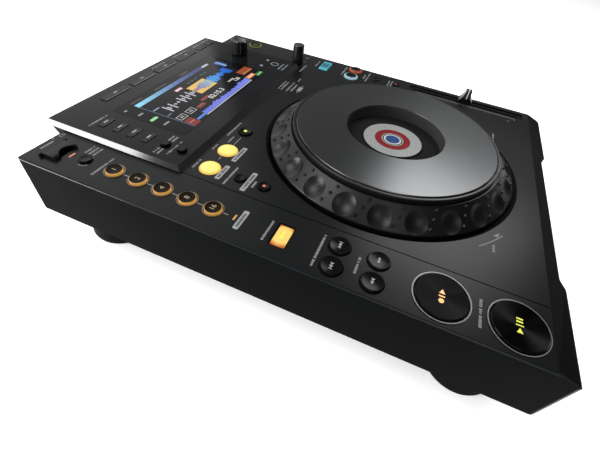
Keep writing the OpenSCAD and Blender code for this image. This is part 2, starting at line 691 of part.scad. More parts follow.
module drive_frame() difference() {
    union() {
        // folded sheet frame: base, sides and lid
        drive_box(-drive_w / 2, drive_w / 2, drive_y, drive_y + drive_len, drive_bottom,
            drive_bottom + 1.5);
        drive_box(-drive_w / 2, drive_w / 2, drive_y, drive_y + drive_len, -slot_drop + bay_top,
            -slot_drop + bay_top + 1.5);
        for (s = [0, 1]) mirror_slot(s)
            drive_box(drive_w / 2 - 1.5, drive_w / 2, drive_y, drive_y + drive_len, drive_bottom,
                -slot_drop + bay_top + 1.5);
        drive_box(-drive_w / 2, drive_w / 2, drive_y + drive_len - 1.5, drive_y + drive_len,
            drive_bottom, -slot_drop + bay_top + 1.5);
        // plate that carries the motor and the pickup
        drive_box(-drive_w / 2 + 1, drive_w / 2 - 1, roller_y + 10, drive_y + drive_len - 1,
            plate_low - 1.5, plate_low);
        for (s = [0, 1]) mirror_slot(s)
            drive_box(drive_w / 2 - 1, drive_w / 2 + 8, drive_y + 10, drive_y + 22, drive_bottom,
            drive_bottom + 1.5);
        for (s = [0, 1]) mirror_slot(s)
            drive_box(drive_w / 2 - 1, drive_w / 2 + 8, drive_y + drive_len - 18,
            drive_y + drive_len - 6, drive_bottom, drive_bottom + 1.5);
    }
    translate([slot_x, spindle_y, plate_low - 2]) cylinder(h = 3, r = 16);
    drive_box(-13, 13, spindle_y + 20, spindle_y + 58, plate_low - 2, plate_low + 1);
    for (s = [-1, 1]) translate([slot_x + s * drive_w / 2, roller_y, bay_floor - 0.7 - roller_r])
        rotate([0, 90, 0])
        cylinder(h = 8, r = 1.5 + running, center = true);
}
module mirror_slot(s) translate([s * 2 * slot_x, 0, 0]) mirror([s, 0, 0]) children();

module drive_inner() {
    // motor can and its bridge under the plate
    difference() {
        union() {
            translate([slot_x, spindle_y, drive_bottom + 1.5]) cylinder(h = 4.4, r = 12.5);
            drive_box(-9, 9, spindle_y - 22, spindle_y + 22, drive_bottom + 1.5, drive_bottom + 2.7);
        }
        translate([slot_x, spindle_y, drive_bottom + 2]) cylinder(h = 6, r = 1.5 + running);
    }
    // pickup on its two rails
    drive_box(-11, 11, spindle_y + 26, spindle_y + 46, drive_bottom + 3.2, plate_low + 1.2);
    translate([slot_x, spindle_y + 36, plate_low + 1.2]) cylinder(h = 1, r = 3.5);
    for (s = [-1, 1]) {
        translate([slot_x + s * 12.2, spindle_y + 20, drive_bottom + 4.8]) rotate([-90, 0, 0])
            cylinder(h = 38, r = 1.2);
        for (y = [20, 54]) drive_box(s * 12.2 - 2, s * 12.2 + 2, spindle_y + y, spindle_y + y + 4,
            drive_bottom + 1.5, drive_bottom + 3.7);
    }
}

module disc_spindle() color("#1a1b1d") deck_frame() translate([slot_x, spindle_y, 0]) {
    translate([0, 0, drive_bottom + 2.6]) cylinder(h = plate_low + 1.4 - drive_bottom - 2.6, r = 1.5);
    translate([0, 0, plate_low - 0.6]) cylinder(h = 2, r = 14.5);
    translate([0, 0, plate_low + 1.4 - e]) cylinder(h = 2.6 + e, r1 = 7.4, r2 = 6);
}

module feed_roller() color("#37383a") deck_frame()
    translate([slot_x, roller_y, bay_floor - 0.7 - roller_r]) rotate([0, 90, 0]) {
    cylinder(h = drive_w + 1, r = 1.5, center = true);
    for (s = [-1, 1]) translate([0, 0, s * (drive_w / 4 - 1)])
        cylinder(h = drive_w / 2 - 4, r1 = roller_r - (s < 0 ? 0 : 0.6),
            r2 = roller_r - (s < 0 ? 0.6 : 0), center = true);
}

// ---- Boards and sockets ----

module switch_on(at, z) translate([at[0], at[1], z + switch_h / 2]) cube([6, 6, switch_h], center = true);

module circuit_boards() color("#1f5a3c") deck_frame() {
    // left key board
    box([4.5, 3, key_board_z - board_t], [left_x + 19.5, deck_len - 32, key_board_z]);
    for (k = round_keys) if (k[0][0] < 40) switch_on(k[0], key_board_z - e);
    switch_on(direction_at, key_board_z - e);
    // loop key board
    box([loop_x - 10.5, loop_y - 50, key_board_z - board_t], [loop_x + 7.5, loop_y + 11.5, key_board_z]);
    box([loop_x + 7.4, loop_y - 7, key_board_z - board_t], [loop_x + 64, loop_y + 11.5, key_board_z]);
    for (k = round_keys) if (k[0][0] > 40 && k[0][0] < 200) switch_on(k[0], key_board_z - e);
    // right key board
    box([body_w - 39.5, tempo_y + tempo_travel + 17.5, key_board_z - board_t],
        [body_w - 3.5, deck_len - 24, key_board_z]);
    for (k = round_keys) if (k[0][0] > 200) switch_on(k[0], key_board_z - e);
    switch_on(mode_at, key_board_z - e);
    translate([speed_at[0], speed_at[1], 0]) difference() {
        union() {
            translate([-6, -6, key_board_z - e]) cube([12, 12, 6]);
            translate([0, 0, key_board_z]) cylinder(h = -key_board_z - deck_t - seam, r = 4.6);
        }
        translate([0, 0, key_board_z + 1]) cylinder(h = 20, r = shaft_r + running);
    }
    // panel board and the strip under the menu keys
    difference() {
        box([panel_x + 7, panel_y + 8, panel_board_z - board_t],
            [panel_x + panel_w - 7, deck_len - 6, panel_board_z]);
        window_place() translate([0, 0, panel_board_z - 2]) linear_extrude(4)
            square([window_w - 30, window_d - 30], center = true);
    }
    for (i = [0:3]) switch_on([media_x, media_y + i * media_pitch], panel_board_z - e);
    for (i = [0:1]) switch_on([media_x - 1, dot_key_y + i * dot_key_pitch], panel_board_z - e);
    difference() {
        translate([selector_at[0] - 6.5, selector_at[1] - 6.5, panel_board_z - e]) cube([13, 13, 4.6]);
        translate([selector_at[0], selector_at[1], panel_board_z]) cylinder(h = 9, r = shaft_r + running);
    }
    box([menu_x - 20, deck_len + 2.7, menu_board_z - 1.2], [short_x + 26, deck_len + 7.2, menu_board_z]);
    for (i = [0:3]) menu_switch(menu_x + i * menu_pitch);
    for (i = [0:1]) menu_switch(short_x + i * 17.5);
    // main board with its processor, chips and capacitors
    main_parts();
    power_parts();
    // jack board behind the sockets, and the usb board at the top left
    box([lan_x - 16, deck_len - 22, -wall_h + sheet_t],
        [jack_x + 12, deck_len - 3, -wall_h + sheet_t + board_t]);
    box([left_x - 13, usb_y - 9.5, usb_board_z - board_t], [left_x + 13, usb_y + 9.5, usb_board_z]);
}
module menu_switch(x) box([x - 3, deck_len + 3.2, menu_board_z - e],
    [x + 3, deck_len + 6.8, menu_board_z + switch_h]);

module main_parts() {
    b = main_board;
    z = board_z + board_t;
    box([b[0][0], b[0][1], board_z], [b[1][0], b[1][1], z]);
    box([b[0][0] + 40, b[0][1] + 60, z - e], [b[0][0] + 68, b[0][1] + 88, z + 2.4]);
    for (i = [0:1]) box([b[0][0] + 80, b[0][1] + 58 + 18 * i, z - e],
        [b[0][0] + 94, b[0][1] + 69 + 18 * i, z + 1.4]);
    for (i = [0:4]) translate([b[1][0] - 54 + 9 * i, b[0][1] + 20, z - e]) cylinder(h = 9, r = 3.2);
    for (i = [1:3]) translate([b[0][0] + (b[1][0] - b[0][0]) * i / 4 - 13, b[1][1] - 16, z - e])
        cube([26, 7, 6 + e]);
}

module power_parts() {
    b = power_board;
    z = board_z + board_t;
    box([b[0][0], b[0][1], board_z], [b[1][0], b[1][1], z]);
    box([b[0][0] + 26, b[0][1] + 40, z - e], [b[0][0] + 58, b[0][1] + 68, z + 24]);
    translate([b[0][0] + 14, b[0][1] + 86, z - e]) cylinder(h = 28, r = 9);
    for (i = [0:2]) translate([b[0][0] + 12 + 13 * i, b[0][1] + 14, z - e]) cylinder(h = 18, r = 5);
    box([b[0][0] + 70, b[0][1] + 30, z - e], [b[0][0] + 74, b[0][1] + 84, z + 26]);
}

module socket_box(x, w, h, depth, hole_w, hole_h) translate([x, 0, socket_z]) difference() {
    along_y(deck_len - depth, depth + 0.4) square([w, h], center = true);
    along_y(deck_len - depth + 1.5, depth) square([hole_w, hole_h], center = true);
}

module sockets() color("#c4c6c8") deck_frame() {
    // phono sockets: shell, insulator and pin hole
    for (x = phono_x) translate([x, 0, socket_z]) difference() {
        union() {
            along_y(deck_len - 14, 22) circle(4.2);
            along_y(deck_len - 16, 13.2) square([12, 13], center = true);
        }
        along_y(deck_len - 6, 16) circle(1.7);
        along_y(deck_len + 1, 8) difference() {
            circle(3.6);
            circle(2.9);
        }
    }
    translate([jack_x, 0, socket_z]) difference() {
        union() {
            along_y(deck_len - 14, 15.5) circle(3.4);
            along_y(deck_len - 15, 12.2) square([9, 12], center = true);
        }
        along_y(deck_len - 12, 16) circle(1.8);
    }
    socket_box(lan_x, 15.2, 12.8, 16, 12, 8.4);
    socket_box(usb_b_x, 12.2, 11, 16, 8.6, 7.9);
    translate([usb_b_x, 0, socket_z]) along_y(deck_len - 15, 12) square([5.6, 3.2], center = true);
    // mains inlet with its three pins
    socket_box(inlet_x, 28.2, 20.2, 22, 24.4, 16.6);
    translate([inlet_x, 0, socket_z]) for (p = [[-7, 2], [7, 2], [0, 5]])
        translate([p[0], 0, p[1] - 0.6]) along_y(deck_len - 21, 17) square([2, 3.6], center = true);
    // frame of the power switch, with its pivot pins
    translate([switch_x, 0, socket_z]) {
        difference() {
            union() {
                along_y(deck_len - 14, 14.4) square([15, 19.2], center = true);
                along_y(deck_len - 0.2, 1.2) square([17.6, 20.8], center = true);
            }
            along_y(deck_len - 12.5, 20) square([12.8, 17.4], center = true);
        }
        for (s = [-1, 1]) translate([s * 6, deck_len - 3, 0]) rotate([0, 90, 0])
            cylinder(h = 1.2, r = 1, center = true);
    }
    // usb socket under the lid, opening upwards
    translate([left_x, usb_y, usb_board_z]) difference() {
        linear_extrude(13.6) square([14.6, 7.2], center = true);
        translate([0, 0, 1]) linear_extrude(14) square([12.6, 5.2], center = true);
    }
    translate([left_x, usb_y + 1.5, usb_board_z + 0.8]) linear_extrude(11)
        square([11.2, 1.8], center = true);
}

module power_switch() color("#101113") deck_frame() translate([switch_x, deck_len - 3, socket_z])
    rotate([-7, 0, 0])
    difference() {
        along_x(-6, 12) polygon([[-4, -4], [1.5, -8], [4.6, -8], [3.5, 0], [4.6, 8], [1.5, 8], [-4, 4]]);
        for (s = [-1, 1]) translate([s * 5.7, 0, 0]) rotate([0, 90, 0])
            cylinder(h = 1, r = 1 + running, center = true);
    }

module slider_unit() color("#9a9da0") deck_frame() difference() {
    box([tempo_x - 5.2, tempo_y - tempo_travel - 13, -deck_t - 11],
        [tempo_x + 5.2, tempo_y + tempo_travel + 13, -deck_t]);
    translate([tempo_x, tempo_y, -deck_t - 8]) linear_extrude(9) stadium_y(slit_w, 2 * tempo_travel + 12);
}

// ---- Small fixed pieces ----

module trim_rings() color("#c9cacc") deck_frame() for (k = ringed_keys)
    translate([k[0][0], k[0][1], -ring_seat]) difference() {
        cylinder(h = ring_seat + k[3], r = k[1] + key_gap + k[2] + 0.2);
        translate([0, 0, -1]) cylinder(h = 4, r = k[1] + key_gap + 0.2);
    }

module feet() color("#151617") deck_frame() for (p = feet_at) translate([p[0], p[1], pan_z - foot_h])
    rotate_extrude() polygon([
        [2.1, foot_h], [foot_top_r, foot_h], [foot_top_r, foot_h * 0.7], [foot_r, 3.2], [foot_r - 0.7, 1],
        [foot_r - 2.6, 0], [8, 0], [8, 7], [2.1, 7]]);

module case_screws() color("#6d6f72") deck_frame() {
    both_sides() for (y = screw_y) translate([7, y, -wall_h]) {
        translate([0, 0, -1.7]) cylinder(h = 1.7, r = 2.7);
        translate([0, 0, -e]) cylinder(h = 12, r = screw_r);
    }
    for (p = feet_at) translate([p[0], p[1], pan_z - foot_h + 4.6]) {
        cylinder(h = 2.4, r = 5);
        cylinder(h = foot_h + 1, r = 1.8);
    }
}

// ---- Moving pieces ----

// A sprung round key: cap with a dished top, flange under its plate, and a stem to its switch.
// top is the plate's top, under its underside and board the switch's foot.
module round_key(at, r, top, under, board, rise, travel, dish) translate([at[0], at[1], 0]) {
    flange = under - seam;
    low = flange - (under < 0 ? flange_t : panel_flange_t);
    face = top + rise;
    rotate_extrude() polygon(concat(
        [[0, low], [r + flange_w, low], [r + flange_w, flange], [r, flange], [r, face - 0.5],
            [r - 0.5, face]],
        dish > 0 ? dish_points(r - 1, face, dish) : [], [[0, face - dish]]));
    translate([0, 0, board + switch_h + travel + seam - 0.1])
        cylinder(h = low + 0.2 - board - switch_h - travel - seam, r = 1.6);
}
// Points of a shallow hollow of the given depth, from its rim inwards
function dish_points(rim, face, dish) = [for (i = [0:4])
    [rim * (1 - i / 5), face - dish * (1 - pow(1 - i / 5, 2))]];

module deck_key(at, r, rise = key_rise, dish = 0.4, travel = key_travel)
    deck_frame() round_key(at, r, 0, -deck_t, key_board_z, rise, travel, dish);

// A key with a low domed cap
module dome_key(at, r) deck_frame() {
    round_key(at, r, -1.2, -deck_t, key_board_z, key_rise, key_travel, 0);
    translate([at[0], at[1], key_rise - 1.3]) intersection() {
        cylinder(h = 2, r = r - 0.6);
        translate([0, 0, 1.4 - 26]) sphere(26);
    }
}

// An oblong key with bevelled edges
module oblong_cap(size, low, high) intersection() {
    along_x(-size[0] / 2, size[0]) polygon(cap_side(size[1], low, high));
    along_y(-size[1] / 2, size[1]) polygon(cap_side(size[0], low, high));
}
function cap_side(w, low, high) = [
    [-w / 2, low], [-w / 2, high - 0.5], [0.5 - w / 2, high], [w / 2 - 0.5, high], [w / 2, high - 0.5],
        [w / 2, low]];

module oblong_key(at, size, top, under, board, rise, travel, stem_y = 0) translate([at[0], at[1], 0]) {
    flange = under - seam;
    thick = under < 0 ? flange_t : panel_flange_t;
    oblong_cap(size, flange - thick, top + rise);
    translate([0, 0, flange - thick]) linear_extrude(thick)
        square([size[0] + 2 * flange_w, size[1] + 2 * flange_w], center = true);
    translate([0, stem_y, board + switch_h + travel + seam - 0.1])
        cylinder(h = flange - board - switch_h - travel - seam, r = 1.4);
}

module menu_key(x, size) color("#3b3c3e") deck_frame()
    oblong_key([x, menu_y], size, panel_h, panel_h - panel_t, menu_board_z, small_rise, panel_travel, 1.5);
module media_key(i) color("#3b3c3e") deck_frame()
    oblong_key([media_x, media_y + i * media_pitch], media_size,
    panel_h, panel_h - panel_t, panel_board_z, small_rise, panel_travel);
module dot_key(i) color("#111214") deck_frame()
    round_key([media_x - 1, dot_key_y + i * dot_key_pitch], dot_key_r,
    panel_h, panel_h - panel_t, panel_board_z, 2.2, panel_travel, 0);

module play_key() color("#0d0e10") deck_key(play_at, big_key_r, 1.8, 0.9, big_travel);
module cue_key() color("#0d0e10") deck_key(cue_at, big_key_r, 1.8, 0.9, big_travel);
module search_key(side, y) color("#0d0e10") deck_key([left_x + side * search_pitch / 2, y], search_r);
module beat_key(i) color("#1b1c1e") deck_key([left_x, beat_y + i * beat_pitch], beat_r, 2);
module direction_key() color("#f6d27a") deck_frame()
    oblong_key(direction_at, direction_size, 0, -deck_t, key_board_z, 0.3, key_travel);
module jog_mode_key() color("#7fe6ee") deck_frame()
    oblong_key(mode_at, mode_size, 0, -deck_t, key_board_z, small_rise, key_travel);

// Evenly spaced cuts round a knob
module flutes(count, r, cut_r, z0, h) for (i = [0:count - 1]) rotate(i * 360 / count)
    translate([r + cut_r * 0.55, 0, z0]) cylinder(h = h, r = cut_r, $fn = 24);

module selector_knob() color("#18191b") deck_frame() translate([selector_at[0], selector_at[1], 0]) {
    knob_z = panel_h + 1.3;
    difference() {
        union() {
            translate([0, 0, knob_z]) cylinder(h = selector_h - 0.8, r = selector_r);
            translate([0, 0, knob_z + selector_h - 0.8])
                cylinder(h = 0.8, r1 = selector_r, r2 = selector_r - 0.8);
        }
        flutes(12, selector_r, 1.5, knob_z + 1.8, selector_h);
        translate([0, 0, knob_z + selector_h + 17]) sphere(18.2);
    }
    translate([0, 0, panel_board_z + 3]) cylinder(h = knob_z - panel_board_z - 2.9, r = shaft_r);
}
module selector_plunger() color("#d0d0d0") deck_frame()
    translate([selector_at[0], selector_at[1], panel_board_z + 0.7])
    cylinder(h = 2.2, r = shaft_r - 0.4);

module speed_knob() color("#18191b") deck_frame() translate([speed_at[0], speed_at[1], 0]) {
    difference() {
        union() {
            translate([0, 0, 1]) cylinder(h = speed_h - 1.8, r1 = speed_r, r2 = speed_r - 0.3);
            translate([0, 0, speed_h - 0.8]) cylinder(h = 0.8, r1 = speed_r - 0.3, r2 = speed_r - 1);
        }
        flutes(20, speed_r, 0.6, 5, speed_h);
    }
    translate([0, 0, key_board_z + 1.3]) cylinder(h = 1.2 - key_board_z - 1.2, r = shaft_r);
}

// Slider cap with hollow flanks and leaning sides, on its blade
module tempo_slider() color("#1c1d1f") deck_frame() translate([tempo_x, tempo_y, 0]) {
    cap_top = 3;
    cap_foot = 7;
    flank_r = (pow(cap_foot - cap_top, 2) + pow(cap_h - 2.5, 2)) / (2 * (cap_foot - cap_top));
    flank_a = asin((cap_h - 2.5) / flank_r);
    intersection() {
        along_x(-5.5, 11) polygon(concat([[cap_foot, 0.5]],
            arc([cap_top + flank_r, cap_h], flank_r, 180 + flank_a, 180),
                [[cap_top - 0.5, cap_h + 0.4], [0.5 - cap_top, cap_h + 0.4]],
            arc([-cap_top - flank_r, cap_h], flank_r, 0, -flank_a), [[-cap_foot, 0.5]]));
        along_y(-10, 20) polygon([[-5.5, 0.5], [-5.5, cap_h * 0.43], [-3.2, cap_h + 0.4],
            [3.2, cap_h + 0.4],
            [5.5, cap_h * 0.43], [5.5, 0.5]]);
    }
    translate([-1.3, -4, -deck_t - 6]) cube([2.6, 8, deck_t + 6.6]);
}

// Lid with a finger notch in its front edge
module usb_lid() color("#3a3b3d") deck_frame() difference() {
    union() {
        along_x(lid_x - lid_w / 2, lid_w) polygon(concat(
            [[lid_axis[0], 0.45], [lid_axis[0], 2.6], [usb_y, 2.9]],
            arc([lid_front + 2.4, 0.5], 2.4, 90, 180, 5), [[lid_front, 0.45]]));
        translate([lid_x, lid_axis[0], lid_axis[1]]) rotate([0, 90, 0])
            cylinder(h = lid_w, r = 1.15, center = true);
    }
    translate([lid_x, lid_axis[0], lid_axis[1]]) rotate([0, 90, 0])
        cylinder(h = lid_w + 2, r = 0.5 + running, center = true);
    translate([lid_x + 1.4, lid_front - 2.4, 0]) cylinder(h = 4, r = 7.4);
}

upper_case();
bottom_case();
front_fascia();
rear_panel();
display_housing();
display_screen();
trim_rings();
feet();
case_screws();
jog_post();
disc_drive();
circuit_boards();
slider_unit();
sockets();
jog_wheel();
jog_plate();
disc_spindle();
feed_roller();
tempo_slider();
selector_plunger();
selector_knob();
speed_knob();
usb_lid();
power_switch();
play_key();
cue_key();
search_key(-1, search_y);  // search_back_key
search_key(1, search_y);  // search_forward_key
search_key(-1, track_y);  // track_back_key
search_key(1, track_y);  // track_forward_key
direction_key();
for (i = [0:beat_count - 1]) beat_key(i);
color("#111214") deck_key(stop_at, 4.6);  // usb_stop_key
color("#fff3a8") dome_key([loop_x, loop_y], loop_r);  // loop_in_key
color("#fff3a8")  // loop_out_key
    dome_key([loop_x + loop_pitch, loop_y], loop_r);
color("#16171a") deck_key(reloop_at, 5.8);  // reloop_key
color("#16171a") deck_key(four_at, 4.3);  // four_beat_key
color("#16171a") deck_key(slip_at, 4.6);  // slip_key
for (i = [0:3]) menu_key(menu_x + i * menu_pitch, menu_size);
menu_key(short_x, short_size);  // back_key
menu_key(short_x + 17.5, short_size);  // tag_key
for (i = [0:3]) media_key(i);
dot_key(1);  // time_key
dot_key(0);  // auto_cue_key
color("#16171a") deck_key(eject_at, 6);  // eject_key
jog_mode_key();
color("#16171a")  // sync_key
    deck_key([pair_x - pair_pitch / 2, pair_y], pair_r, 2);
color("#16171a")  // master_key
    deck_key([pair_x + pair_pitch / 2, pair_y], pair_r, 2);
color("#16171a") deck_key(range_at, 4.3, small_rise);  // tempo_range_key
color("#16171a")  // master_tempo_key
    deck_key(master_tempo_at, 4.3, small_rise);
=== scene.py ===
import bpy
import bmesh
import random
from math import pi, sin, cos, radians, hypot
from mathutils import Matrix, Vector


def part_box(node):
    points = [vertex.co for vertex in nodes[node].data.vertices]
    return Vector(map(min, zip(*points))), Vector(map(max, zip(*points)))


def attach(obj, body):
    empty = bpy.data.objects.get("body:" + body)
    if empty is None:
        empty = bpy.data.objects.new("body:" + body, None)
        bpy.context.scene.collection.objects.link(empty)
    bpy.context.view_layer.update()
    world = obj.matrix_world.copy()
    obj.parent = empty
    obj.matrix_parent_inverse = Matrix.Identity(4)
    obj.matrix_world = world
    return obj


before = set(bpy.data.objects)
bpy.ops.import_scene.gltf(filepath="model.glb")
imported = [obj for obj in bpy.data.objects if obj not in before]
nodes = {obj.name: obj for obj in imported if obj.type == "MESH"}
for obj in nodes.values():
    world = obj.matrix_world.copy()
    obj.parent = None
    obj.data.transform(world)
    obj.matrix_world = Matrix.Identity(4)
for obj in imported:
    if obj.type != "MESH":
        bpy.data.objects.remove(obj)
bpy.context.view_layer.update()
print("frame loaded, nodes:", len(nodes))

# sizes that the dressing is laid out on, in millimetres
# deck coordinates: x from the left wall, y from the deck's front edge, z up from the deck
body = {
    "width": 305.0,
    "midDepth": 178.3,   # from the deck's front edge to the middle of the box
    "deckTop": 86.0,     # above the table
    "panelTop": 4.5,     # above the deck
}
# jog wheel: its middle, and how far its dark eye reaches in the ring and in the plate
wheel = {"centre": (155.0, 121.3), "eyeInRing": 41, "eyeInPlate": 42}
# keys that carry print or light
keyPlaces = {
    "column": 20.6,      # x of the row along the left wall
    "play": 18.9,        # y in that row
    "cue": 61.7,
    "beatFirst": 211.0,
    "beatPitch": 19.6,
    "beatCount": 5,
    "sync": (274.5, 192),
    "master": (294.3, 192),
    "eject": (288.5, 319),
}
column = keyPlaces["column"]
beatPlaces = [(column, keyPlaces["beatFirst"] + keyPlaces["beatPitch"] * i)
              for i in range(keyPlaces["beatCount"])]


def deckPoint(x, y, z=0.0):
    # a place on the deck, in millimetres, to the part's own frame in metres
    return Vector((
        (x - body["width"] / 2) / 1000, (y - body["midDepth"]) / 1000, (z + body["deckTop"]) / 1000))


# camera
camera = {
    "place": (-0.2702, -0.06654, 0.2499),
    "turn": (43.635, -6.210, -67.622),
    "lens": 21.09,
    "sensor": 36.0,
    "nearest": 0.01,
    "furthest": 50,
}
cameraData = bpy.data.cameras.new("camera")
cameraData.lens = camera["lens"]
cameraData.sensor_width = camera["sensor"]
cameraData.sensor_fit = "HORIZONTAL"
cameraData.clip_start = camera["nearest"]
cameraData.clip_end = camera["furthest"]
cameraObject = bpy.data.objects.new("camera", cameraData)
bpy.context.scene.collection.objects.link(cameraObject)
cameraObject.location = camera["place"]
cameraObject.rotation_euler = [radians(a) for a in camera["turn"]]
bpy.context.scene.camera = cameraObject
print("camera placed")


# colours and nodes
def hexColour(text, alpha=1.0):
    # sRGB hex to the linear values that the shaders take
    parts = [int(text.lstrip("#")[i:i + 2], 16) / 255 for i in (0, 2, 4)]
    return [c / 12.92 if c <= 0.04045 else ((c + 0.055) / 1.055) ** 2.4 for c in parts] + [alpha]


def mixHex(a, b, share):
    first, second = ([int(c.lstrip("#")[i:i + 2], 16) for i in (0, 2, 4)] for c in (a, b))
    return "#" + "".join("%02x" % round(p + (q - p) * share) for p, q in zip(first, second))


def addNode(tree, kind, settings=None, inputs=None):
    node = tree.nodes.new(kind)
    for name, value in (settings or {}).items():
        setattr(node, name, value)
    for name, value in (inputs or {}).items():
        if isinstance(value, bpy.types.NodeSocket):
            tree.links.new(value, node.inputs[name])
        else:
            node.inputs[name].default_value = value
    return node


def newMaterial(name, shader):
    material = bpy.data.materials.new(name)
    material.use_nodes = True
    tree = material.node_tree
    bsdf = tree.nodes["Principled BSDF"]
    for socket, value in shader.items():
        bsdf.inputs[socket].default_value = value
    return material, tree, bsdf


def perMm(size):
    # texture scale for a feature of that size in millimetres
    return 1000.0 / size


def distanceFrom(tree, centre):
    # distance from the upright line through the centre, in metres
    where = addNode(tree, "ShaderNodeTexCoord")
    shift = addNode(tree, "ShaderNodeVectorMath", {"operation": "SUBTRACT"}, {
        0: where.outputs["Object"], 1: tuple(centre)})
    flat = addNode(tree, "ShaderNodeVectorMath", {"operation": "MULTIPLY"}, {
        0: shift.outputs["Vector"], 1: (1, 1, 0)})
    away = addNode(tree, "ShaderNodeVectorMath", {"operation": "LENGTH"}, {0: flat.outputs["Vector"]})
    return away.outputs["Value"]


def grainedFinish(name, look):
    # faint clouding of the colour, a fine grain in the surface, wiped patches in the gloss
    material, tree, bsdf = newMaterial(name, look["shader"])
    where = addNode(tree, "ShaderNodeTexCoord")
    cloud = addNode(tree, "ShaderNodeTexNoise", None, {
        "Vector": where.outputs["Object"], "Scale": perMm(look["cloudMm"]), "Detail": 3.0})
    # a colour mix takes its two colours at 6 and 7 and gives the mixed one at 2
    tint = addNode(tree, "ShaderNodeMix", {"data_type": "RGBA"}, {
        0: cloud.outputs["Fac"], 6: hexColour(look["dark"]), 7: hexColour(look["light"])})
    tree.links.new(tint.outputs[2], bsdf.inputs["Base Color"])
    grain = addNode(tree, "ShaderNodeTexNoise", None, {
        "Vector": where.outputs["Object"], "Scale": perMm(look["grainMm"]), "Detail": 2.0})
    gloss = addNode(tree, "ShaderNodeMapRange", None, {
        "Value": cloud.outputs["Fac"], "From Min": 0.3, "From Max": 0.7,
        "To Min": look["rough"][0], "To Max": look["rough"][1]})
    tree.links.new(gloss.outputs["Result"], bsdf.inputs["Roughness"])
    bump = addNode(tree, "ShaderNodeBump", None, {
        "Height": grain.outputs["Fac"], "Distance": look["grainDepthMm"] / 1000, "Strength": 1.0})
    tree.links.new(bump.outputs["Normal"], bsdf.inputs["Normal"])
    return material


# painted ABS deck: near-black with a soft satin sheen, the grain of fine textured paint
deckPaint = grainedFinish("paintedAbsDeck", {
    "shader": {"Specular IOR Level": 0.09, "IOR": 1.5},
    "dark": "#0f1011", "light": "#141516", "rough": (0.26, 0.31),
    "cloudMm": 90, "grainMm": 0.7, "grainDepthMm": 0.006,
})
# the same ABS on the sides and front, rougher from the mould, and darker than the deck as painted shade
shellPaintedShade = grainedFinish("texturedAbsShellPaintedShade", {
    "shader": {"Specular IOR Level": 0.012, "IOR": 1.5},
    "dark": "#08090a", "light": "#0d0e0f", "rough": (0.42, 0.50),
    "cloudMm": 70, "grainMm": 0.9, "grainDepthMm": 0.02,
})
# polished ABS panel round the screen: smooth black with faint wipe marks
panelGloss = grainedFinish("polishedAbsPanel", {
    "shader": {"Specular IOR Level": 0.05, "IOR": 1.5},
    "dark": "#0d0e10", "light": "#121315", "rough": (0.15, 0.21),
    "cloudMm": 60, "grainMm": 3.0, "grainDepthMm": 0.002,
})
# the panel's left slope: the same ABS, shiny enough to catch the studio light in a white strip, and a little
# lighter than the top as a painted highlight
panelEdgeHighlight = grainedFinish("satinAbsEdgeHighlight", {
    "shader": {"Specular IOR Level": 0.5, "IOR": 1.5},
    "dark": "#141516", "light": "#18191a", "rough": (0.1, 0.13),
    "cloudMm": 60, "grainMm": 1.0, "grainDepthMm": 0.0004,
})
# the panel's front slope: the same ABS, a little duller, and lighter than the top as painted light on the
# slope
panelSlopePaintedLight = grainedFinish("satinAbsSlopePaintedLight", {
    "shader": {"Specular IOR Level": 0.5, "IOR": 1.5},
    "dark": "#1a1b1c", "light": "#202122", "rough": (0.26, 0.32),
    "cloudMm": 60, "grainMm": 1.0, "grainDepthMm": 0.0004,
})
# the deck's left edge: the same paint, lighter and shinier, as a painted highlight along the edge
deckEdgeHighlight = grainedFinish("paintedHighlightEdge", {
    "shader": {"Specular IOR Level": 0.14, "IOR": 1.5},
    "dark": "#1a1b1c", "light": "#202122", "rough": (0.2, 0.26),
    "cloudMm": 12, "grainMm": 1.0, "grainDepthMm": 0.0004,
})
# powder-coated steel underside: fine orange peel
coatedSteel = grainedFinish("powderCoatedSteel", {
    "shader": {"Specular IOR Level": 0.1, "IOR": 1.5},
    "dark": "#121314", "light": "#18191a", "rough": (0.5, 0.6),
    "cloudMm": 50, "grainMm": 1.1, "grainDepthMm": 0.03,
})
# moulded rubber feet: dull, nearly black
footRubber = grainedFinish("mouldedRubberFeet", {
    "shader": {"Specular IOR Level": 0.08, "IOR": 1.5},
    "dark": "#0b0b0c", "light": "#101011", "rough": (0.62, 0.75),
    "cloudMm": 20, "grainMm": 0.8, "grainDepthMm": 0.02,
})
# soft-touch ring of the jog wheel: satin rubberised plastic
ringSoftTouch = grainedFinish("softTouchRing", {
    "shader": {"Specular IOR Level": 0.25, "IOR": 1.5},
    "dark": "#060607", "light": "#09090a", "rough": (0.34, 0.40),
    "cloudMm": 30, "grainMm": 0.6, "grainDepthMm": 0.003,
})
# knobs and slider cap: moulded ABS with a light satin face
knobPlastic = grainedFinish("satinKnobAbs", {
    "shader": {"Specular IOR Level": 0.55, "IOR": 1.5},
    "dark": "#060607", "light": "#0a0b0c", "rough": (0.28, 0.36),
    "cloudMm": 12, "grainMm": 0.5, "grainDepthMm": 0.004,
})
# polished key caps: smooth black
keyGloss = grainedFinish("polishedKeyCap", {
    "shader": {"Specular IOR Level": 0.07, "IOR": 1.5},
    "dark": "#060607", "light": "#0a0a0b", "rough": (0.14, 0.2),
    "cloudMm": 15, "grainMm": 1.0, "grainDepthMm": 0.001,
})
# panel keys: matt black ABS
keyMatt = grainedFinish("mattKeyAbs", {
    "shader": {"Specular IOR Level": 0.12, "IOR": 1.5},
    "dark": "#0f1011", "light": "#151617", "rough": (0.36, 0.44),
    "cloudMm": 10, "grainMm": 0.5, "grainDepthMm": 0.005,
})
# bevels of the panel keys: the key's ABS lighter and shinier, as a painted highlight on their edges
keyBevelHighlight = grainedFinish("keyBevelPaintedHighlight", {
    "shader": {"Specular IOR Level": 0.2, "IOR": 1.5},
    "dark": "#1c1d1e", "light": "#242526", "rough": (0.2, 0.26),
    "cloudMm": 10, "grainMm": 0.5, "grainDepthMm": 0.002,
})
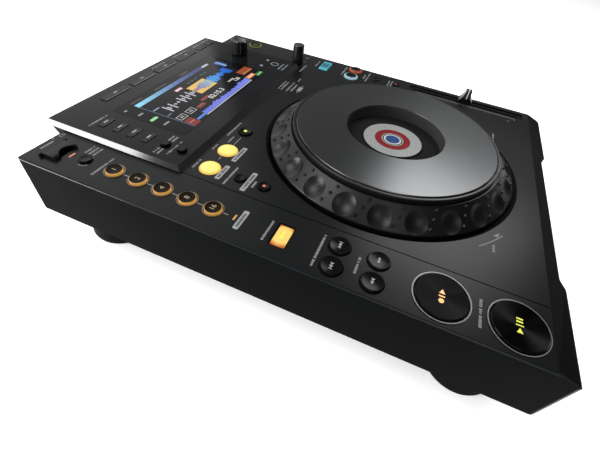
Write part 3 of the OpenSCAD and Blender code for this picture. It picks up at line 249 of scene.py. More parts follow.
# tops of the beat keys: smoked ABS that the lamp below tints brown
capBrown = grainedFinish("smokedKeyTop", {
    "shader": {"Specular IOR Level": 0.03, "IOR": 1.5},
    "dark": "#120c06", "light": "#181008", "rough": (0.2, 0.28),
    "cloudMm": 10, "grainMm": 0.5, "grainDepthMm": 0.003,
})
# dull black inside of the wells and of the slot
shadowPlastic = grainedFinish("dullInnerPlastic", {
    "shader": {"Specular IOR Level": 0.05, "IOR": 1.5},
    "dark": "#0a0a0b", "light": "#0e0e0f", "rough": (0.6, 0.7),
    "cloudMm": 30, "grainMm": 0.8, "grainDepthMm": 0.01,
})
# matt black floor of the wheel's eye
eyeWall = grainedFinish("mattEyeLining", {
    "shader": {"Specular IOR Level": 0.01, "IOR": 1.5},
    "dark": "#1a1a1b", "light": "#1f1f20", "rough": (0.6, 0.7),
    "cloudMm": 30, "grainMm": 0.8, "grainDepthMm": 0.004,
})
# upright sides of the eye: the same matt black painted lighter, as painted light against the shade that falls
# on them, so that they don't stand out from its floor
eyeSidePaintedLight = grainedFinish("mattEyeSidePaintedLight", {
    "shader": {"Specular IOR Level": 0.01, "IOR": 1.5},
    "dark": "#303031", "light": "#363637", "rough": (0.6, 0.7),
    "cloudMm": 30, "grainMm": 0.8, "grainDepthMm": 0.004,
})
# black glass of the screen: clean, with a few faint smears
glassBlack = grainedFinish("blackCoverGlass", {
    "shader": {"Specular IOR Level": 0.04, "IOR": 1.5},
    "dark": "#07080a", "light": "#0a0b0e", "rough": (0.07, 0.12),
    "cloudMm": 45, "grainMm": 8.0, "grainDepthMm": 0.0005,
})
# zinc-plated folded sheet of the drive
zincSheet = grainedFinish("zincPlatedSheet", {
    "shader": {"Metallic": 1.0},
    "dark": "#8c8e90", "light": "#a5a7a9", "rough": (0.3, 0.42),
    "cloudMm": 14, "grainMm": 0.6, "grainDepthMm": 0.003,
})
# blackened screws of the case
blackScrew = grainedFinish("blackOxideScrew", {
    "shader": {"Metallic": 1.0},
    "dark": "#1d1d1f", "light": "#262628", "rough": (0.35, 0.45),
    "cloudMm": 3, "grainMm": 0.3, "grainDepthMm": 0.002,
})
# circuit boards under green lacquer
boardGreen = grainedFinish("solderMaskBoard", {
    "shader": {"Specular IOR Level": 0.5},
    "dark": "#0f3d28", "light": "#16503a", "rough": (0.3, 0.4),
    "cloudMm": 8, "grainMm": 0.6, "grainDepthMm": 0.004,
})
# dark grey moulded post of the wheel, and the selector's plunger
postGrey = grainedFinish("mouldedGreyPost", {
    "shader": {"Specular IOR Level": 0.4},
    "dark": "#2b2c2e", "light": "#333436", "rough": (0.4, 0.5),
    "cloudMm": 20, "grainMm": 0.6, "grainDepthMm": 0.004,
})


def turnedMetal(name, look):
    # metal turned on a lathe: its streaks run round the axis, so light fans out across the face
    material, tree, bsdf = newMaterial(name, look["shader"])
    rings = addNode(tree, "ShaderNodeTexNoise", {"noise_dimensions": "1D"}, {
        "W": distanceFrom(tree, look["centre"]), "Scale": perMm(look["lineMm"]), "Detail": 2.0})
    tint = addNode(tree, "ShaderNodeMix", {"data_type": "RGBA"}, {
        0: rings.outputs["Fac"], 6: hexColour(look["dark"]), 7: hexColour(look["light"])})
    tree.links.new(tint.outputs[2], bsdf.inputs["Base Color"])
    gloss = addNode(tree, "ShaderNodeMapRange", None, {
        "Value": rings.outputs["Fac"], "To Min": look["rough"][0], "To Max": look["rough"][1]})
    tree.links.new(gloss.outputs["Result"], bsdf.inputs["Roughness"])
    around = addNode(tree, "ShaderNodeTangent", {"direction_type": "RADIAL", "axis": "Z"})
    tree.links.new(around.outputs["Tangent"], bsdf.inputs["Tangent"])
    return material


# anodised aluminium top plate: dark grey, its lathe lines too fine to stand out
plateMetal = turnedMetal("anodisedAluminiumPlate", {
    "shader": {"Metallic": 1.0, "Anisotropic": 0.2, "Anisotropic Rotation": 0.25},
    "centre": deckPoint(*wheel["centre"]), "lineMm": 0.5,
    "dark": "#494a4b", "light": "#4a4b4c", "rough": (0.275, 0.281),
})
# black lacquered caps turned on a lathe: light fans out from the middle
capFace = turnedMetal("blackTurnedCap", {
    "shader": {"Metallic": 1.0, "Anisotropic": 0.95, "Anisotropic Rotation": 0.25},
    "centre": deckPoint(column, keyPlaces["play"]), "lineMm": 0.7,
    "dark": "#0a0a0b", "light": "#101011", "rough": (0.34, 0.40),
})


def scuffedPlate(name, look):
    # plated metal: bright, with fine scuffs in its gloss
    material, tree, bsdf = newMaterial(name, {"Metallic": 1.0, "Base Color": hexColour(look["colour"])})
    where = addNode(tree, "ShaderNodeTexCoord")
    scuff = addNode(tree, "ShaderNodeTexNoise", None, {
        "Vector": where.outputs["Object"], "Scale": perMm(look["scuffMm"]), "Detail": 3.0})
    gloss = addNode(tree, "ShaderNodeMapRange", None, {
        "Value": scuff.outputs["Fac"], "To Min": look["rough"][0], "To Max": look["rough"][1]})
    tree.links.new(gloss.outputs["Result"], bsdf.inputs["Roughness"])
    return material


# chromed trim rings
trimChrome = scuffedPlate("brushedChromeTrim", {"colour": "#b4b5b7", "scuffMm": 0.5, "rough": (0.16, 0.34)})
# nickel-plated socket shells
socketNickel = scuffedPlate("nickelPlate", {"colour": "#a9a59b", "scuffMm": 1.2, "rough": (0.16, 0.34)})


def paintedLine(name, colour, roughness=0.6, specular=0.1):
    # ink or paint in one thin coat, too small for any pattern to show
    return newMaterial(name, {
        "Base Color": hexColour(colour), "Roughness": roughness, "Specular IOR Level": specular})[0]


def litPlastic(name, base, glow, strength):
    # translucent plastic with a lamp behind it
    return newMaterial(name, {
        "Base Color": hexColour(base), "Roughness": 0.3,
        "Emission Color": hexColour(glow), "Emission Strength": strength})[0]


# screen-print inks of the legends: matt
inkGrey = paintedLine("screenPrintInkGrey", "#7c7d7f")
inkPale = paintedLine("screenPrintInkPale", "#8e8f90")
inkDim = paintedLine("screenPrintInkDim", "#646566")
inkDark = paintedLine("screenPrintInkBlack", "#3e3f40")
inkTeal = paintedLine("screenPrintInkTeal", "#06343c", 0.5)
inkWhite = paintedLine("screenPrintInkWhite", "#d8d8d6", 0.5, 0.5)
# painted rings round the large keys: glossier
ringLine = paintedLine("paintedRingLine", "#7c7c7c", 0.3, 0.5)
ringGrey = paintedLine("greyTintedRing", "#1a1a1b", 0.3, 0.5)
# insulators at the bottom of the phono shells
insulators = [paintedLine(name, colour, 0.4, 0.5) for name, colour in (
    ("insulatorWhite", "#d8d8d6"), ("insulatorRed", "#a8201c"), ("insulatorOrange", "#b0601c"))]
# lit marks, rings and lamps
glowPlay = litPlastic("litPlaySymbol", "#5c5e20", "#e8ee5a", 0.95)
glowCue = litPlastic("litCueSymbol", "#5c4020", "#ffbe5c", 0.95)
glowAmber = litPlastic("litAmberMark", "#5a4320", "#e0a450", 0.62)
glowPaleGold = litPlastic("litPaleGoldMark", "#5a4c34", "#c9b184", 0.5)
glowOrange = litPlastic("litOrangeLamp", "#5a2a10", "#f08a48", 0.6)
glowGreen = litPlastic("litGreenLamp", "#3f6a42", "#8fdc8c", 0.55)
glowWhite = litPlastic("litWhiteMark", "#707070", "#f4f4f0", 0.7)
glowLime = litPlastic("litLimeRing", "#41441c", "#b9bf4c", 0.3)
glowBlue = litPlastic("litBlueWhite", "#4c6068", "#b4dcea", 0.5)
glowBrick = litPlastic("litBrickRing", "#4c2418", "#c8583a", 0.5)
ringGold = litPlastic("goldTintedRing", "#3a2e18", "#6e5630", 0.2)
print("materials made")


def paint(name, *materials):
    # gives the node its materials, the first one all over
    slots = nodes[name].data.materials
    slots.clear()
    for material in materials:
        slots.append(material)
    for face in nodes[name].data.polygons:
        face.material_index = 0


def paintWhere(name, index, test):
    # gives the faces that pass the test another of the node's materials
    # the test takes the face's middle in deck coordinates, and its normal
    for face in nodes[name].data.polygons:
        middle = face.center * 1000
        x, y, z = middle.x + body["width"] / 2, middle.y + body["midDepth"], middle.z - body["deckTop"]
        if test(x, y, z, face.normal):
            face.material_index = index


def within(x, y, place, reach):
    return hypot(x - place[0], y - place[1]) < reach


# nodes with one material all over
onePaint = {
    "bottom_case": coatedSteel, "rear_panel": shellPaintedShade, "feet": footRubber, "case_screws": blackScrew,
    "disc_drive": zincSheet, "disc_spindle": shadowPlastic, "feed_roller": footRubber,
    "slider_unit": shadowPlastic, "circuit_boards": boardGreen, "usb_lid": deckPaint,
    "tempo_slider": knobPlastic, "selector_knob": knobPlastic, "speed_knob": knobPlastic,
    "power_switch": knobPlastic, "selector_plunger": postGrey, "display_screen": glassBlack,
}
for name, material in onePaint.items():
    paint(name, material)

# case: deck, outer walls in painted shade, dark insides and a painted highlight along the left edge
casePaint = {
    "outerWithin": 0.2,   # faces this near to the sides are the outer walls
    "edgeWithin": 0.7,    # the edge along the left wall lies this near to it
    "insideBelow": -0.6,  # lower faces are inside, where they are more than a wall's thickness in
    "wallThick": 2.6,
    "slotBehind": -8.6,   # faces of the fascia further back than this line its slot
}
paint("upper_case", deckPaint, shellPaintedShade, shadowPlastic, deckEdgeHighlight)
# outer walls take the darker shell colour: painted shade
paintWhere("upper_case", 1, lambda x, y, z, n: abs(n.x) > 0.7 and (
    x < casePaint["outerWithin"] or x > body["width"] - casePaint["outerWithin"]))
# the left edge takes the lighter edge colour: a painted highlight
paintWhere("upper_case", 3, lambda x, y, z, n: n.x < -0.2 and n.z > 0.2 and x < casePaint["edgeWithin"])
paintWhere("upper_case", 2, lambda x, y, z, n: z < casePaint["insideBelow"] and (
    casePaint["wallThick"] < x < body["width"] - casePaint["wallThick"]))
paint("front_fascia", shellPaintedShade, shadowPlastic)
paintWhere("front_fascia", 1, lambda x, y, z, n: y > casePaint["slotBehind"])

# panel housing: flat top, and left and front slopes in lighter copies of its ABS as painted light
paint("display_housing", panelGloss, panelEdgeHighlight, panelSlopePaintedLight)
# the front and left slopes take the lighter copies: painted light
paintWhere("display_housing", 2, lambda x, y, z, n: 0.3 < n.z < 0.97 and n.y < -0.3 and z > 0)
paintWhere("display_housing", 1, lambda x, y, z, n: 0.3 < n.z < 0.97 and n.x < -0.3 and z > 0)

# rings round the keys: material's place in the list, how far out the ring reaches, middles
paint("trim_rings", trimChrome, ringGrey, ringGold, glowBlue, glowBrick, glowLime)
trimPaint = [
    (1, 18, [(column, keyPlaces["play"]), (column, keyPlaces["cue"])]),
    (2, 8.5, beatPlaces),
    (3, 8.5, [keyPlaces["sync"]]),
    (4, 8.5, [keyPlaces["master"]]),
    (5, 8.5, [keyPlaces["eject"]]),
]
for index, reach, places in trimPaint:
    for place in places:
        paintWhere("trim_rings", index, lambda x, y, z, n: within(x, y, place, reach))

# wheel: dark eye in the ring and under the plate, its upright sides painted lighter as painted light
paint("jog_wheel", ringSoftTouch, eyeWall, eyeSidePaintedLight)
paintWhere("jog_wheel", 1, lambda x, y, z, n: within(x, y, wheel["centre"], wheel["eyeInRing"]))
# the eye's upright sides take the lighter copy: painted light against their shade
paintWhere("jog_wheel", 2, lambda x, y, z, n: (
    abs(n.z) < 0.5 and within(x, y, wheel["centre"], wheel["eyeInRing"])))
paint("jog_plate", plateMetal, eyeSidePaintedLight)
paintWhere("jog_plate", 1, lambda x, y, z, n: (
    n.z < 0.3 and within(x, y, wheel["centre"], wheel["eyeInPlate"])))

# keys: polished caps, turned faces on the two large ones, matt keys on the panel with a painted highlight on
# their bevels
for name in nodes:
    if name.endswith("_key"):
        paint(name, keyGloss)
for name in ("play_key", "cue_key"):
    paint(name, keyGloss, capFace)
    paintWhere(name, 1, lambda x, y, z, n: n.z > 0.9)   # tops
for name in nodes:
    if name.startswith(("menu_key", "media_key")) or name in ("back_key", "tag_key"):
        paint(name, keyMatt, keyBevelHighlight)
        # the bevels take the lighter copy: a painted highlight
        paintWhere(name, 1, lambda x, y, z, n: 0.2 < n.z < 0.95)   # bevels

# keys whose walls are clear plastic with a lamp below, under a dark top
lampWalls = {"sync_key": (keyGloss, glowBlue), "master_key": (keyGloss, glowBrick)}
for i in range(keyPlaces["beatCount"]):
    lampWalls["beat_key_" + str(i + 1)] = (capBrown, glowAmber)
for name, (top, wall) in lampWalls.items():
    paint(name, top, wall)
    paintWhere(name, 1, lambda x, y, z, n: abs(n.z) < 0.9)   # walls

litCaps = {
    # each cap: colour in the middle, colour at the edge, strength
    "caps": {
        "loop_in_key": ("#f8f486", "#e8941c", 1.0),
        "loop_out_key": ("#f8f486", "#e8941c", 1.0),
        "jog_mode_key": ("#3aa8c0", "#58d8ee", 0.7),
        "direction_key": ("#ffd873", "#c84a14", 1.0),
    },
    "plastic": "#2a2418",
    "shader": {"Roughness": 0.34, "Specular IOR Level": 0.2},
    "fade": (0.6, 1.02),   # where the middle's colour gives way, in shares of half the cap's length
}
for name, (glow, edge, strength) in litCaps["caps"].items():
    # moulded translucent cap: brightest in the middle, over the lamp, and another colour at the edge
    material, tree, bsdf = newMaterial("litCap_" + name, {
        "Base Color": hexColour(litCaps["plastic"]), "Emission Strength": strength, **litCaps["shader"]})
    low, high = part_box(name)
    reach = max(high.x - low.x, high.y - low.y) / 2
    fade = addNode(tree, "ShaderNodeMapRange", {"interpolation_type": "SMOOTHSTEP"}, {
        "Value": distanceFrom(tree, (low + high) / 2),
        "From Min": reach * litCaps["fade"][0], "From Max": reach * litCaps["fade"][1]})
    warm = addNode(tree, "ShaderNodeMix", {"data_type": "RGBA"}, {
        0: fade.outputs["Result"], 6: hexColour(glow), 7: hexColour(edge)})
    tree.links.new(warm.outputs[2], bsdf.inputs["Emission Color"])
    paint(name, material)

# sockets: nickel shells of the phono and network sockets, black bodies, coloured insulators
socketPaint = {
    "nickelFrom": ((146, 190), (94, 133)),   # spans of x
    "phonoPlaces": (150, 164, 186),
    "phonoLevel": -34,
    "insulatorReach": 3.8,
    "insulatorDepth": (354, 355.5),
}
paint("sockets", socketNickel, keyMatt, *insulators)
paintWhere("sockets", 1, lambda x, y, z, n: (
    not any(low < x < high for low, high in socketPaint["nickelFrom"])))
for index, across in enumerate(socketPaint["phonoPlaces"]):
    paintWhere("sockets", 2 + index, lambda x, y, z, n: n.y > 0.9 and (
        socketPaint["insulatorDepth"][0] < y < socketPaint["insulatorDepth"][1]) and (
        within(x, z, (across, socketPaint["phonoLevel"]), socketPaint["insulatorReach"])))

# round display in the wheel's eye: printed rings that glow through the glass
eyeDisplay = {
    "centre": wheel["centre"],
    # each ring: inner radius in mm, colour
    "rings": [(0.0, "#2a4474"), (6.0, "#b4b6b8"), (7.4, "#1a1a1a"), (8.3, "#8f8c7e"), (9.4, "#2a1214"),
              (10.2, "#7c1620"), (14.4, "#3c1014"), (15.0, "#8e908e"), (24.4, "#1c1c1e")],
    "span": 32,          # radius in mm that the ramp of colours covers
    "glow": 0.2,
    "speckleMm": 0.9,
    "level": 9,          # the display's glass lies above this
}


def ringsMaterial(name, look):
    material, tree, bsdf = newMaterial(name, {
        "Roughness": 0.12, "Emission Strength": look["glow"], "Specular IOR Level": 0.4})
    share = addNode(tree, "ShaderNodeMath", {"operation": "MULTIPLY"}, {
        0: distanceFrom(tree, deckPoint(*look["centre"])), 1: 1000 / look["span"]})
    ramp = addNode(tree, "ShaderNodeValToRGB", None, {"Fac": share.outputs["Value"]})
    ramp.color_ramp.interpolation = "CONSTANT"
    stops = ramp.color_ramp.elements
    while len(stops) > 1:
        stops.remove(stops[-1])
    stops[0].position = 0
    stops[0].color = hexColour(look["rings"][0][1])
    for radius, colour in look["rings"][1:]:
        stops.new(radius / look["span"]).color = hexColour(colour)
    # the print's speckle
    where = addNode(tree, "ShaderNodeTexCoord")
    speckle = addNode(tree, "ShaderNodeTexNoise", None, {
        "Vector": where.outputs["Object"], "Scale": perMm(look["speckleMm"]), "Detail": 2.0})
    fade = addNode(tree, "ShaderNodeMapRange", None, {
        "Value": speckle.outputs["Fac"], "From Min": 0.35, "From Max": 0.65, "To Min": 0.72, "To Max": 1.0})
    shade = addNode(tree, "ShaderNodeVectorMath", {"operation": "SCALE"}, {
        0: ramp.outputs["Color"], "Scale": fade.outputs["Result"]})
    tree.links.new(shade.outputs["Vector"], bsdf.inputs["Base Color"])
    tree.links.new(shade.outputs["Vector"], bsdf.inputs["Emission Color"])
    return material


paint("jog_post", postGrey, ringsMaterial("eyeDisplayPrint", eyeDisplay))
paintWhere("jog_post", 1, lambda x, y, z, n: n.z > 0.9 and z > eyeDisplay["level"])
print("nodes painted")


# meshes
def newPiece(name, mesh, material, ridesOn):
    piece = bpy.data.objects.new(name, mesh)
    bpy.context.scene.collection.objects.link(piece)
    mesh.materials.append(material)
    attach(piece, ridesOn)
    return piece


def prism(bm, outline, low, high):
    # closed flat piece of the given outline, in deck millimetres
    bottom = [bm.verts.new(deckPoint(x, y, low)) for x, y in outline]
    top = [bm.verts.new(deckPoint(x, y, high)) for x, y in outline]
    bm.faces.new(top)
    bm.faces.new(bottom[::-1])
    count = len(outline)
    for i in range(count):
        bm.faces.new((bottom[i], bottom[(i + 1) % count], top[(i + 1) % count], top[i]))


def bar(x, y, width, height):
    return [(x - width / 2, y - height / 2), (x + width / 2, y - height / 2),
            (x + width / 2, y + height / 2), (x - width / 2, y + height / 2)]


def pill(x, y, width, height, steps=6):
    # bar with round ends
    r = height / 2
    turns = [-pi / 2 + pi * i / steps for i in range(steps + 1)]
    right = [(x + width / 2 - r + r * cos(a), y + r * sin(a)) for a in turns]
    left = [(x - width / 2 + r - r * cos(a), y - r * sin(a)) for a in turns]
    return right + left


def softBar(x, y, width, height, r=0.9):
    # bar with small round corners
    corners = ((1, -1, -90), (1, 1, 0), (-1, 1, 90), (-1, -1, 180))
    return [(x + sx * (width / 2 - r) + r * cos(radians(a + d)),
             y + sy * (height / 2 - r) + r * sin(radians(a + d)))
            for sx, sy, a in corners for d in (0, 45, 90)]


def frameBar(x, y, width, height, line=0.5):
    # outline of a bar
    return [bar(x, y + side * (height - line) / 2, width, line) for side in (-1, 1)] + [
        bar(x + side * (width - line) / 2, y, line, height - 2 * line) for side in (-1, 1)]


def disc(x, y, radius, steps=24):
    return [(x + radius * cos(2 * pi * i / steps), y + radius * sin(2 * pi * i / steps))
            for i in range(steps)]


def arrow(x, y, size, way=1):
    # triangle that points along x; the order of its corners keeps its face up either way
    reach = way * size * 0.45
    return [(x - reach, y - size / 2), (x + reach, y), (x - reach, y + size / 2)][::way]


def ringPieces(x, y, inner, outer, start=0.0, end=360.0, steps=48):
    # a flat ring or arc as short four-sided pieces
    pieces = []
    count = max(2, int(steps * (end - start) / 360))
    for i in range(count):
        a, b = (radians(start + (end - start) * k / count) for k in (i, i + 1))
        pieces.append([(x + inner * cos(a), y + inner * sin(a)), (x + outer * cos(a), y + outer * sin(a)),
                       (x + outer * cos(b), y + outer * sin(b)), (x + inner * cos(b), y + inner * sin(b))])
    return pieces


legendLook = {
    "height": 1.7,
    "blockWidths": (0.9, 1.1, 1.3),
    "blockHeights": (1.0, 1.0, 0.8),
    "gap": 0.42,
    "widthsAt": 1.9,     # height of legend that the widths and the gap belong to
    "shortest": 0.5,     # no block is begun this near to the end
    "wordEnds": 0.12,    # share of blocks after which a wider gap comes
    "wordGap": 0.9,
}


def legend(x, y, width, height=legendLook["height"]):
    # stands for a small printed legend: a row of plain blocks, no letters
    pick = random.Random(int(x * 31 + y * 7 + width * 3))
    pieces = []
    at = x - width / 2
    while at < x + width / 2 - legendLook["shortest"]:
        size = min(pick.choice(legendLook["blockWidths"]) * height / legendLook["widthsAt"],
                   x + width / 2 - at)
        pieces.append(bar(at + size / 2, y, size, height * pick.choice(legendLook["blockHeights"])))
        at += size + legendLook["gap"] * height / legendLook["widthsAt"]
        if pick.random() < legendLook["wordEnds"]:
            at += legendLook["wordGap"]
    return pieces


def printSheet(name, shapes, material, level, ridesOn="chassis", thick=0.06, sunk=0.02):
    bm = bmesh.new()
    for shape in shapes:
        prism(bm, shape, level - sunk, level + thick)
    mesh = bpy.data.meshes.new(name)
    bm.to_mesh(mesh)
    bm.free()
    return newPiece(name, mesh, material, ridesOn)


# print on the deck
deckPrint = {
    # each legend: middle and width
    "legends": [
        (20.8, 349.6, 11), (31.5, 321, 9), (31.5, 317.6, 9), (31.5, 314.2, 9), (20.6, 299.5, 21),
        (20.6, 171.5, 18), (20.6, 137, 27), (20.6, 112, 14), (20.6, 39.6, 21),
        (56.5, 247, 12), (81.5, 247, 8), (111.5, 247, 23), (96.5, 241.6, 9),
        (56.5, 218.6, 22), (56, 199.4, 8),
        (210.5, 247.6, 20), (210.5, 244.4, 20), (262, 245, 20),
        (212, 238.8, 21), (212, 234.6, 17), (232, 237, 8),
        (285.5, 235.6, 17), (285.5, 203, 25), (285, 178.4, 12), (285, 174.8, 24),
        (286, 150.4, 15), (286, 147, 15), (222, 35.2, 5), (232, 35.2, 9), (76, 33, 7),
    ],
    # each bar: middle, width, height
    "bars": [
        (70, 236, 3.6, 0.6), (96.5, 236, 12, 0.6), (202, 238.8, 4, 0.5),
        (212, 228.4, 10, 4), (204.5, 228.4, 3.4, 0.6), (219.5, 228.4, 3.4, 0.6),
    ],
    # lines that join the beat keys, and the ends of that row
    "links": {"first": 220.8, "width": 0.7, "length": 4.2, "ends": [(201.5, 3.4), (296.4, 0.1)]},
    # marks behind the lid
    "box": (35.2, 350.8, 4.6, 2.6),
    "dots": [(28.2, 352, 0.7), (24.9, 312.6, 0.7)],
    "dotSides": 10,
    # each arc: middle, inner and outer radius, start and end in degrees, pieces in a full turn
    "arcs": [
        (20.6, 314.5, 6.1, 6.6, 175, 235, 90),                  # round the stop key
        (272.8, 256.5, 9.6, 10.0, -60, 10, 60),                 # beside the speed knob
        (292.4, 251.6, 1.4, 1.9, 0, 360, 48),
        (*wheel["centre"], 113.2, 113.9, 224, 236, 90),         # beside the wheel
    ],
    "arcHead": [(88.6, 33.6), (93.2, 29.0), (88.2, 30.4)],      # makes an arrow of the last arc
}
links = deckPrint["links"]
shapes = [piece for place in deckPrint["legends"] for piece in legend(*place)]
shapes += [bar(*place) for place in deckPrint["bars"]]
shapes += [bar(column, links["first"] + keyPlaces["beatPitch"] * i, links["width"], links["length"])
           for i in range(keyPlaces["beatCount"] - 1)]
shapes += [bar(column, y, links["width"], length) for y, length in links["ends"]]
shapes += frameBar(*deckPrint["box"]) + [disc(*dot, deckPrint["dotSides"]) for dot in deckPrint["dots"]]
shapes += [piece for arc in deckPrint["arcs"] for piece in ringPieces(*arc)] + [deckPrint["arcHead"]]
printSheet("deckLegends", shapes, inkGrey, 0)

# pale pills under some keys, with dark marks on them
pillPrint = {
    # each pill: middle, width, height
    "places": [(56.5, 225.6, 17, 3.9), (81.8, 225.6, 20, 3.9),
               (56.5, 204, 22, 3.9), (20.6, 190.4, 17.5, 3.9)],
    "margin": 4.5,
    "markHeight": 1.9,
    "markLevel": 0.05,
}
printSheet("deckPills", [softBar(*place) for place in pillPrint["places"]], inkPale, 0)
printSheet("deckPillMarks", [piece for x, y, width, height in pillPrint["places"]
                             for piece in legend(x, y, width - pillPrint["margin"], pillPrint["markHeight"])],
           inkDark, pillPrint["markLevel"])

# scale beside the tempo slider
tempoScale = {
    "right": 284.3, "centre": 66.5, "reach": 52, "steps": 48,
    "longEvery": 12, "longTick": 6, "shortTick": 4, "line": 0.7,
    "signs": [(273.2, 112, 3, 0.6), (273.2, 21, 3, 0.6), (273.2, 21, 0.6, 3)],   # minus, and plus
}
ticks = []
for i in range(tempoScale["steps"] + 1):
    y = tempoScale["centre"] - tempoScale["reach"] + 2 * tempoScale["reach"] * i / tempoScale["steps"]
    length = tempoScale["shortTick"] if i % tempoScale["longEvery"] else tempoScale["longTick"]
    ticks.append(bar(tempoScale["right"] - length / 2, y, length, tempoScale["line"]))
printSheet("tempoScale", ticks + [bar(*place) for place in tempoScale["signs"]], inkDim, 0)

# numbers
numerals = {"sizePerHeight": 1.42, "halfThick": 0.03, "lift": 0.04}


def numberPiece(name, text, x, y, height, material, ridesOn, level, slot="gloss_key"):
    curve = bpy.data.curves.new(name, "FONT")
    curve.body = text
    curve.size = height * numerals["sizePerHeight"] / 1000
    curve.align_x = "CENTER"
    curve.align_y = "CENTER"
    curve.extrude = numerals["halfThick"] / 1000
    temp = bpy.data.objects.new(name + "Curve", curve)
    bpy.context.scene.collection.objects.link(temp)
    bpy.context.view_layer.update()
    mesh = bpy.data.meshes.new_from_object(temp.evaluated_get(bpy.context.evaluated_depsgraph_get()))
    bpy.data.objects.remove(temp)
    mesh.transform(Matrix.Translation(deckPoint(x, y, level + numerals["lift"])))
    mesh.materials.clear()
    mesh.name = name
    return newPiece(name, mesh, material, ridesOn)


# heights of the key tops above the deck, where their marks lie
keyTops = {"large": 1.0, "beat": 1.66, "skip": 1.26, "direction": 0.3, "mode": 0.9,
           "small": 1.25, "eject": 1.3, "masterTempo": 0.65}
for i, text in enumerate(("16", "8", "4", "2", "1")):
    numberPiece("beatNumber" + str(i + 1), text, *beatPlaces[i], 3.6, glowPaleGold,
                "beat_key_" + str(i + 1), keyTops["beat"])

# symbols of the two large keys
y = keyPlaces["play"]
marks = [arrow(17.6, y, 3.6), bar(20.9, y, 0.7, 4.2), bar(23.3, y, 1.0, 3.6), bar(25.3, y, 1.0, 3.6)]
printSheet("playSymbol", marks, glowPlay, keyTops["large"], "play_key")
y = keyPlaces["cue"]
marks = [disc(17.2, y, 1.6), bar(20.4, y, 0.9, 3.6), arrow(23.9, y, 3.6)]
printSheet("cueSymbol", marks, glowCue, keyTops["large"], "cue_key")

# skip keys: middle, way that the arrows point, bar at their tip
skipKeys = {
    "search_back_key": (11.95, 100.8, -1, False),
    "search_forward_key": (29.25, 100.8, 1, False),
    "track_back_key": (11.95, 126, -1, True),
    "track_forward_key": (29.25, 126, 1, True),
}
for name, (x, y, way, stop) in skipKeys.items():
    marks = [arrow(x - 1.1, y, 2.4, way), arrow(x + 1.1, y, 2.4, way)]
    if stop:
        marks.append(bar(x + way * 2.6, y, 0.5, 2.4))
    printSheet(name + "Arrows", marks, inkPale, keyTops["skip"], name)
printSheet("directionMark", [arrow(18.6, 161.5, 3.4, -1), bar(21.9, 161.5, 5.0, 1.2)],
           glowPlay, keyTops["direction"], "direction_key")

# thin painted lines round the two large keys
ringLines = {"inner": 16.8, "outer": 17.1, "level": 0.5}
for name, y in (("playRingLine", keyPlaces["play"]), ("cueRingLine", keyPlaces["cue"])):
    shapes = ringPieces(column, y, ringLines["inner"], ringLines["outer"])
    printSheet(name, shapes, ringLine, ringLines["level"])
printSheet("jogModeMark", frameBar(284.4, 226, 9.6, 5.6, 1.1) + [bar(284.4, 226, 4.2, 1.6)],
           inkTeal, keyTops["mode"], "jog_mode_key")
print("deck legends printed")

# print on the panel and on its keys
panelPrint = {
    "legends": [
        (59.5, 338.2, 19), (167, 364.6, 20), (203, 365.2, 24), (232, 364.4, 12), (249.5, 365.2, 14),
        (50.4, 277, 7), (50.4, 273.8, 7), (68.2, 277, 7), (68.2, 273.8, 7), (57, 267.6, 14), (67.6, 267.6, 3),
        (241, 263.2, 16), (241, 258.8, 17),
    ],
    "dots": [(230.5, 281.7, 1.9), (247.2, 282.2, 1.7)],
    "ring": (242.5, 271.5, 3.4, 4.4),
    "keyTop": 0.9,       # above the panel
    "menuMarks": {"first": 100.6, "pitch": 34.4, "y": 358.2, "size": (4.4, 1.3)},
    "mediaMarks": {"first": 291.4, "pitch": 13.3, "x": 60.4, "size": (4.4, 1.5)},
}
shapes = [piece for place in panelPrint["legends"] for piece in legend(*place)]
shapes += [disc(*dot) for dot in panelPrint["dots"]] + ringPieces(*panelPrint["ring"])
printSheet("panelLegends", shapes, inkGrey, body["panelTop"])
keyTop = body["panelTop"] + panelPrint["keyTop"]
menuMarks, mediaMarks = panelPrint["menuMarks"], panelPrint["mediaMarks"]
for i in range(4):
    number = str(i + 1)
    mark = bar(menuMarks["first"] + menuMarks["pitch"] * i, menuMarks["y"], *menuMarks["size"])
    printSheet("menuMark" + number, [mark], inkPale, keyTop, "menu_key_" + number)
    mark = bar(mediaMarks["x"], mediaMarks["first"] + mediaMarks["pitch"] * i, *mediaMarks["size"])
    printSheet("mediaMark" + number, [mark], inkPale, keyTop, "media_key_" + number)

# picture on the screen: plain bars, waves and numbers, drawn as lit cells just on the glass
screen = {
    "level": 4.5,
    "lift": 0.03,
    "glow": 1.0,
    "header": {"left": 91.5, "step": 8, "count": 12, "low": 326, "high": 331.3,
               "from": "#8fd8f2", "to": "#2a2f6e"},
    # name, invented numbers, middle, height
    "numbers": [("screenNumbers", "02:15.3", 150, 287.4, 5.4), ("screenTempo", "128", 186, 286.6, 4.2)],
}
# heights in shares of the reach, and the share of each step that its bar fills
waveLook = {"start": 0.5, "least": 0.25, "change": 0.34, "barShare": 0.92}
cells = []


def cell(x0, y0, x1, y1, colour):
    cells.append(([(x0, y0), (x1, y0), (x1, y1), (x0, y1)], colour))


def wave(x0, x1, middle, reach, step, colours, seed, under=None):
    # row of thin upright bars whose heights wander, both ways from the middle or up from one level
    pick = random.Random(seed)
    count = int((x1 - x0) / step)
    height = waveLook["start"]
    for i in range(count):
        change = pick.uniform(-waveLook["change"], waveLook["change"])
        height = min(1.0, max(waveLook["least"], height + change))
        low = middle - reach * height if under is None else under
        cell(x0 + step * i, low, x0 + step * i + step * waveLook["barShare"], middle + reach * height,
             mixHex(*colours, i / max(1, count - 1)))


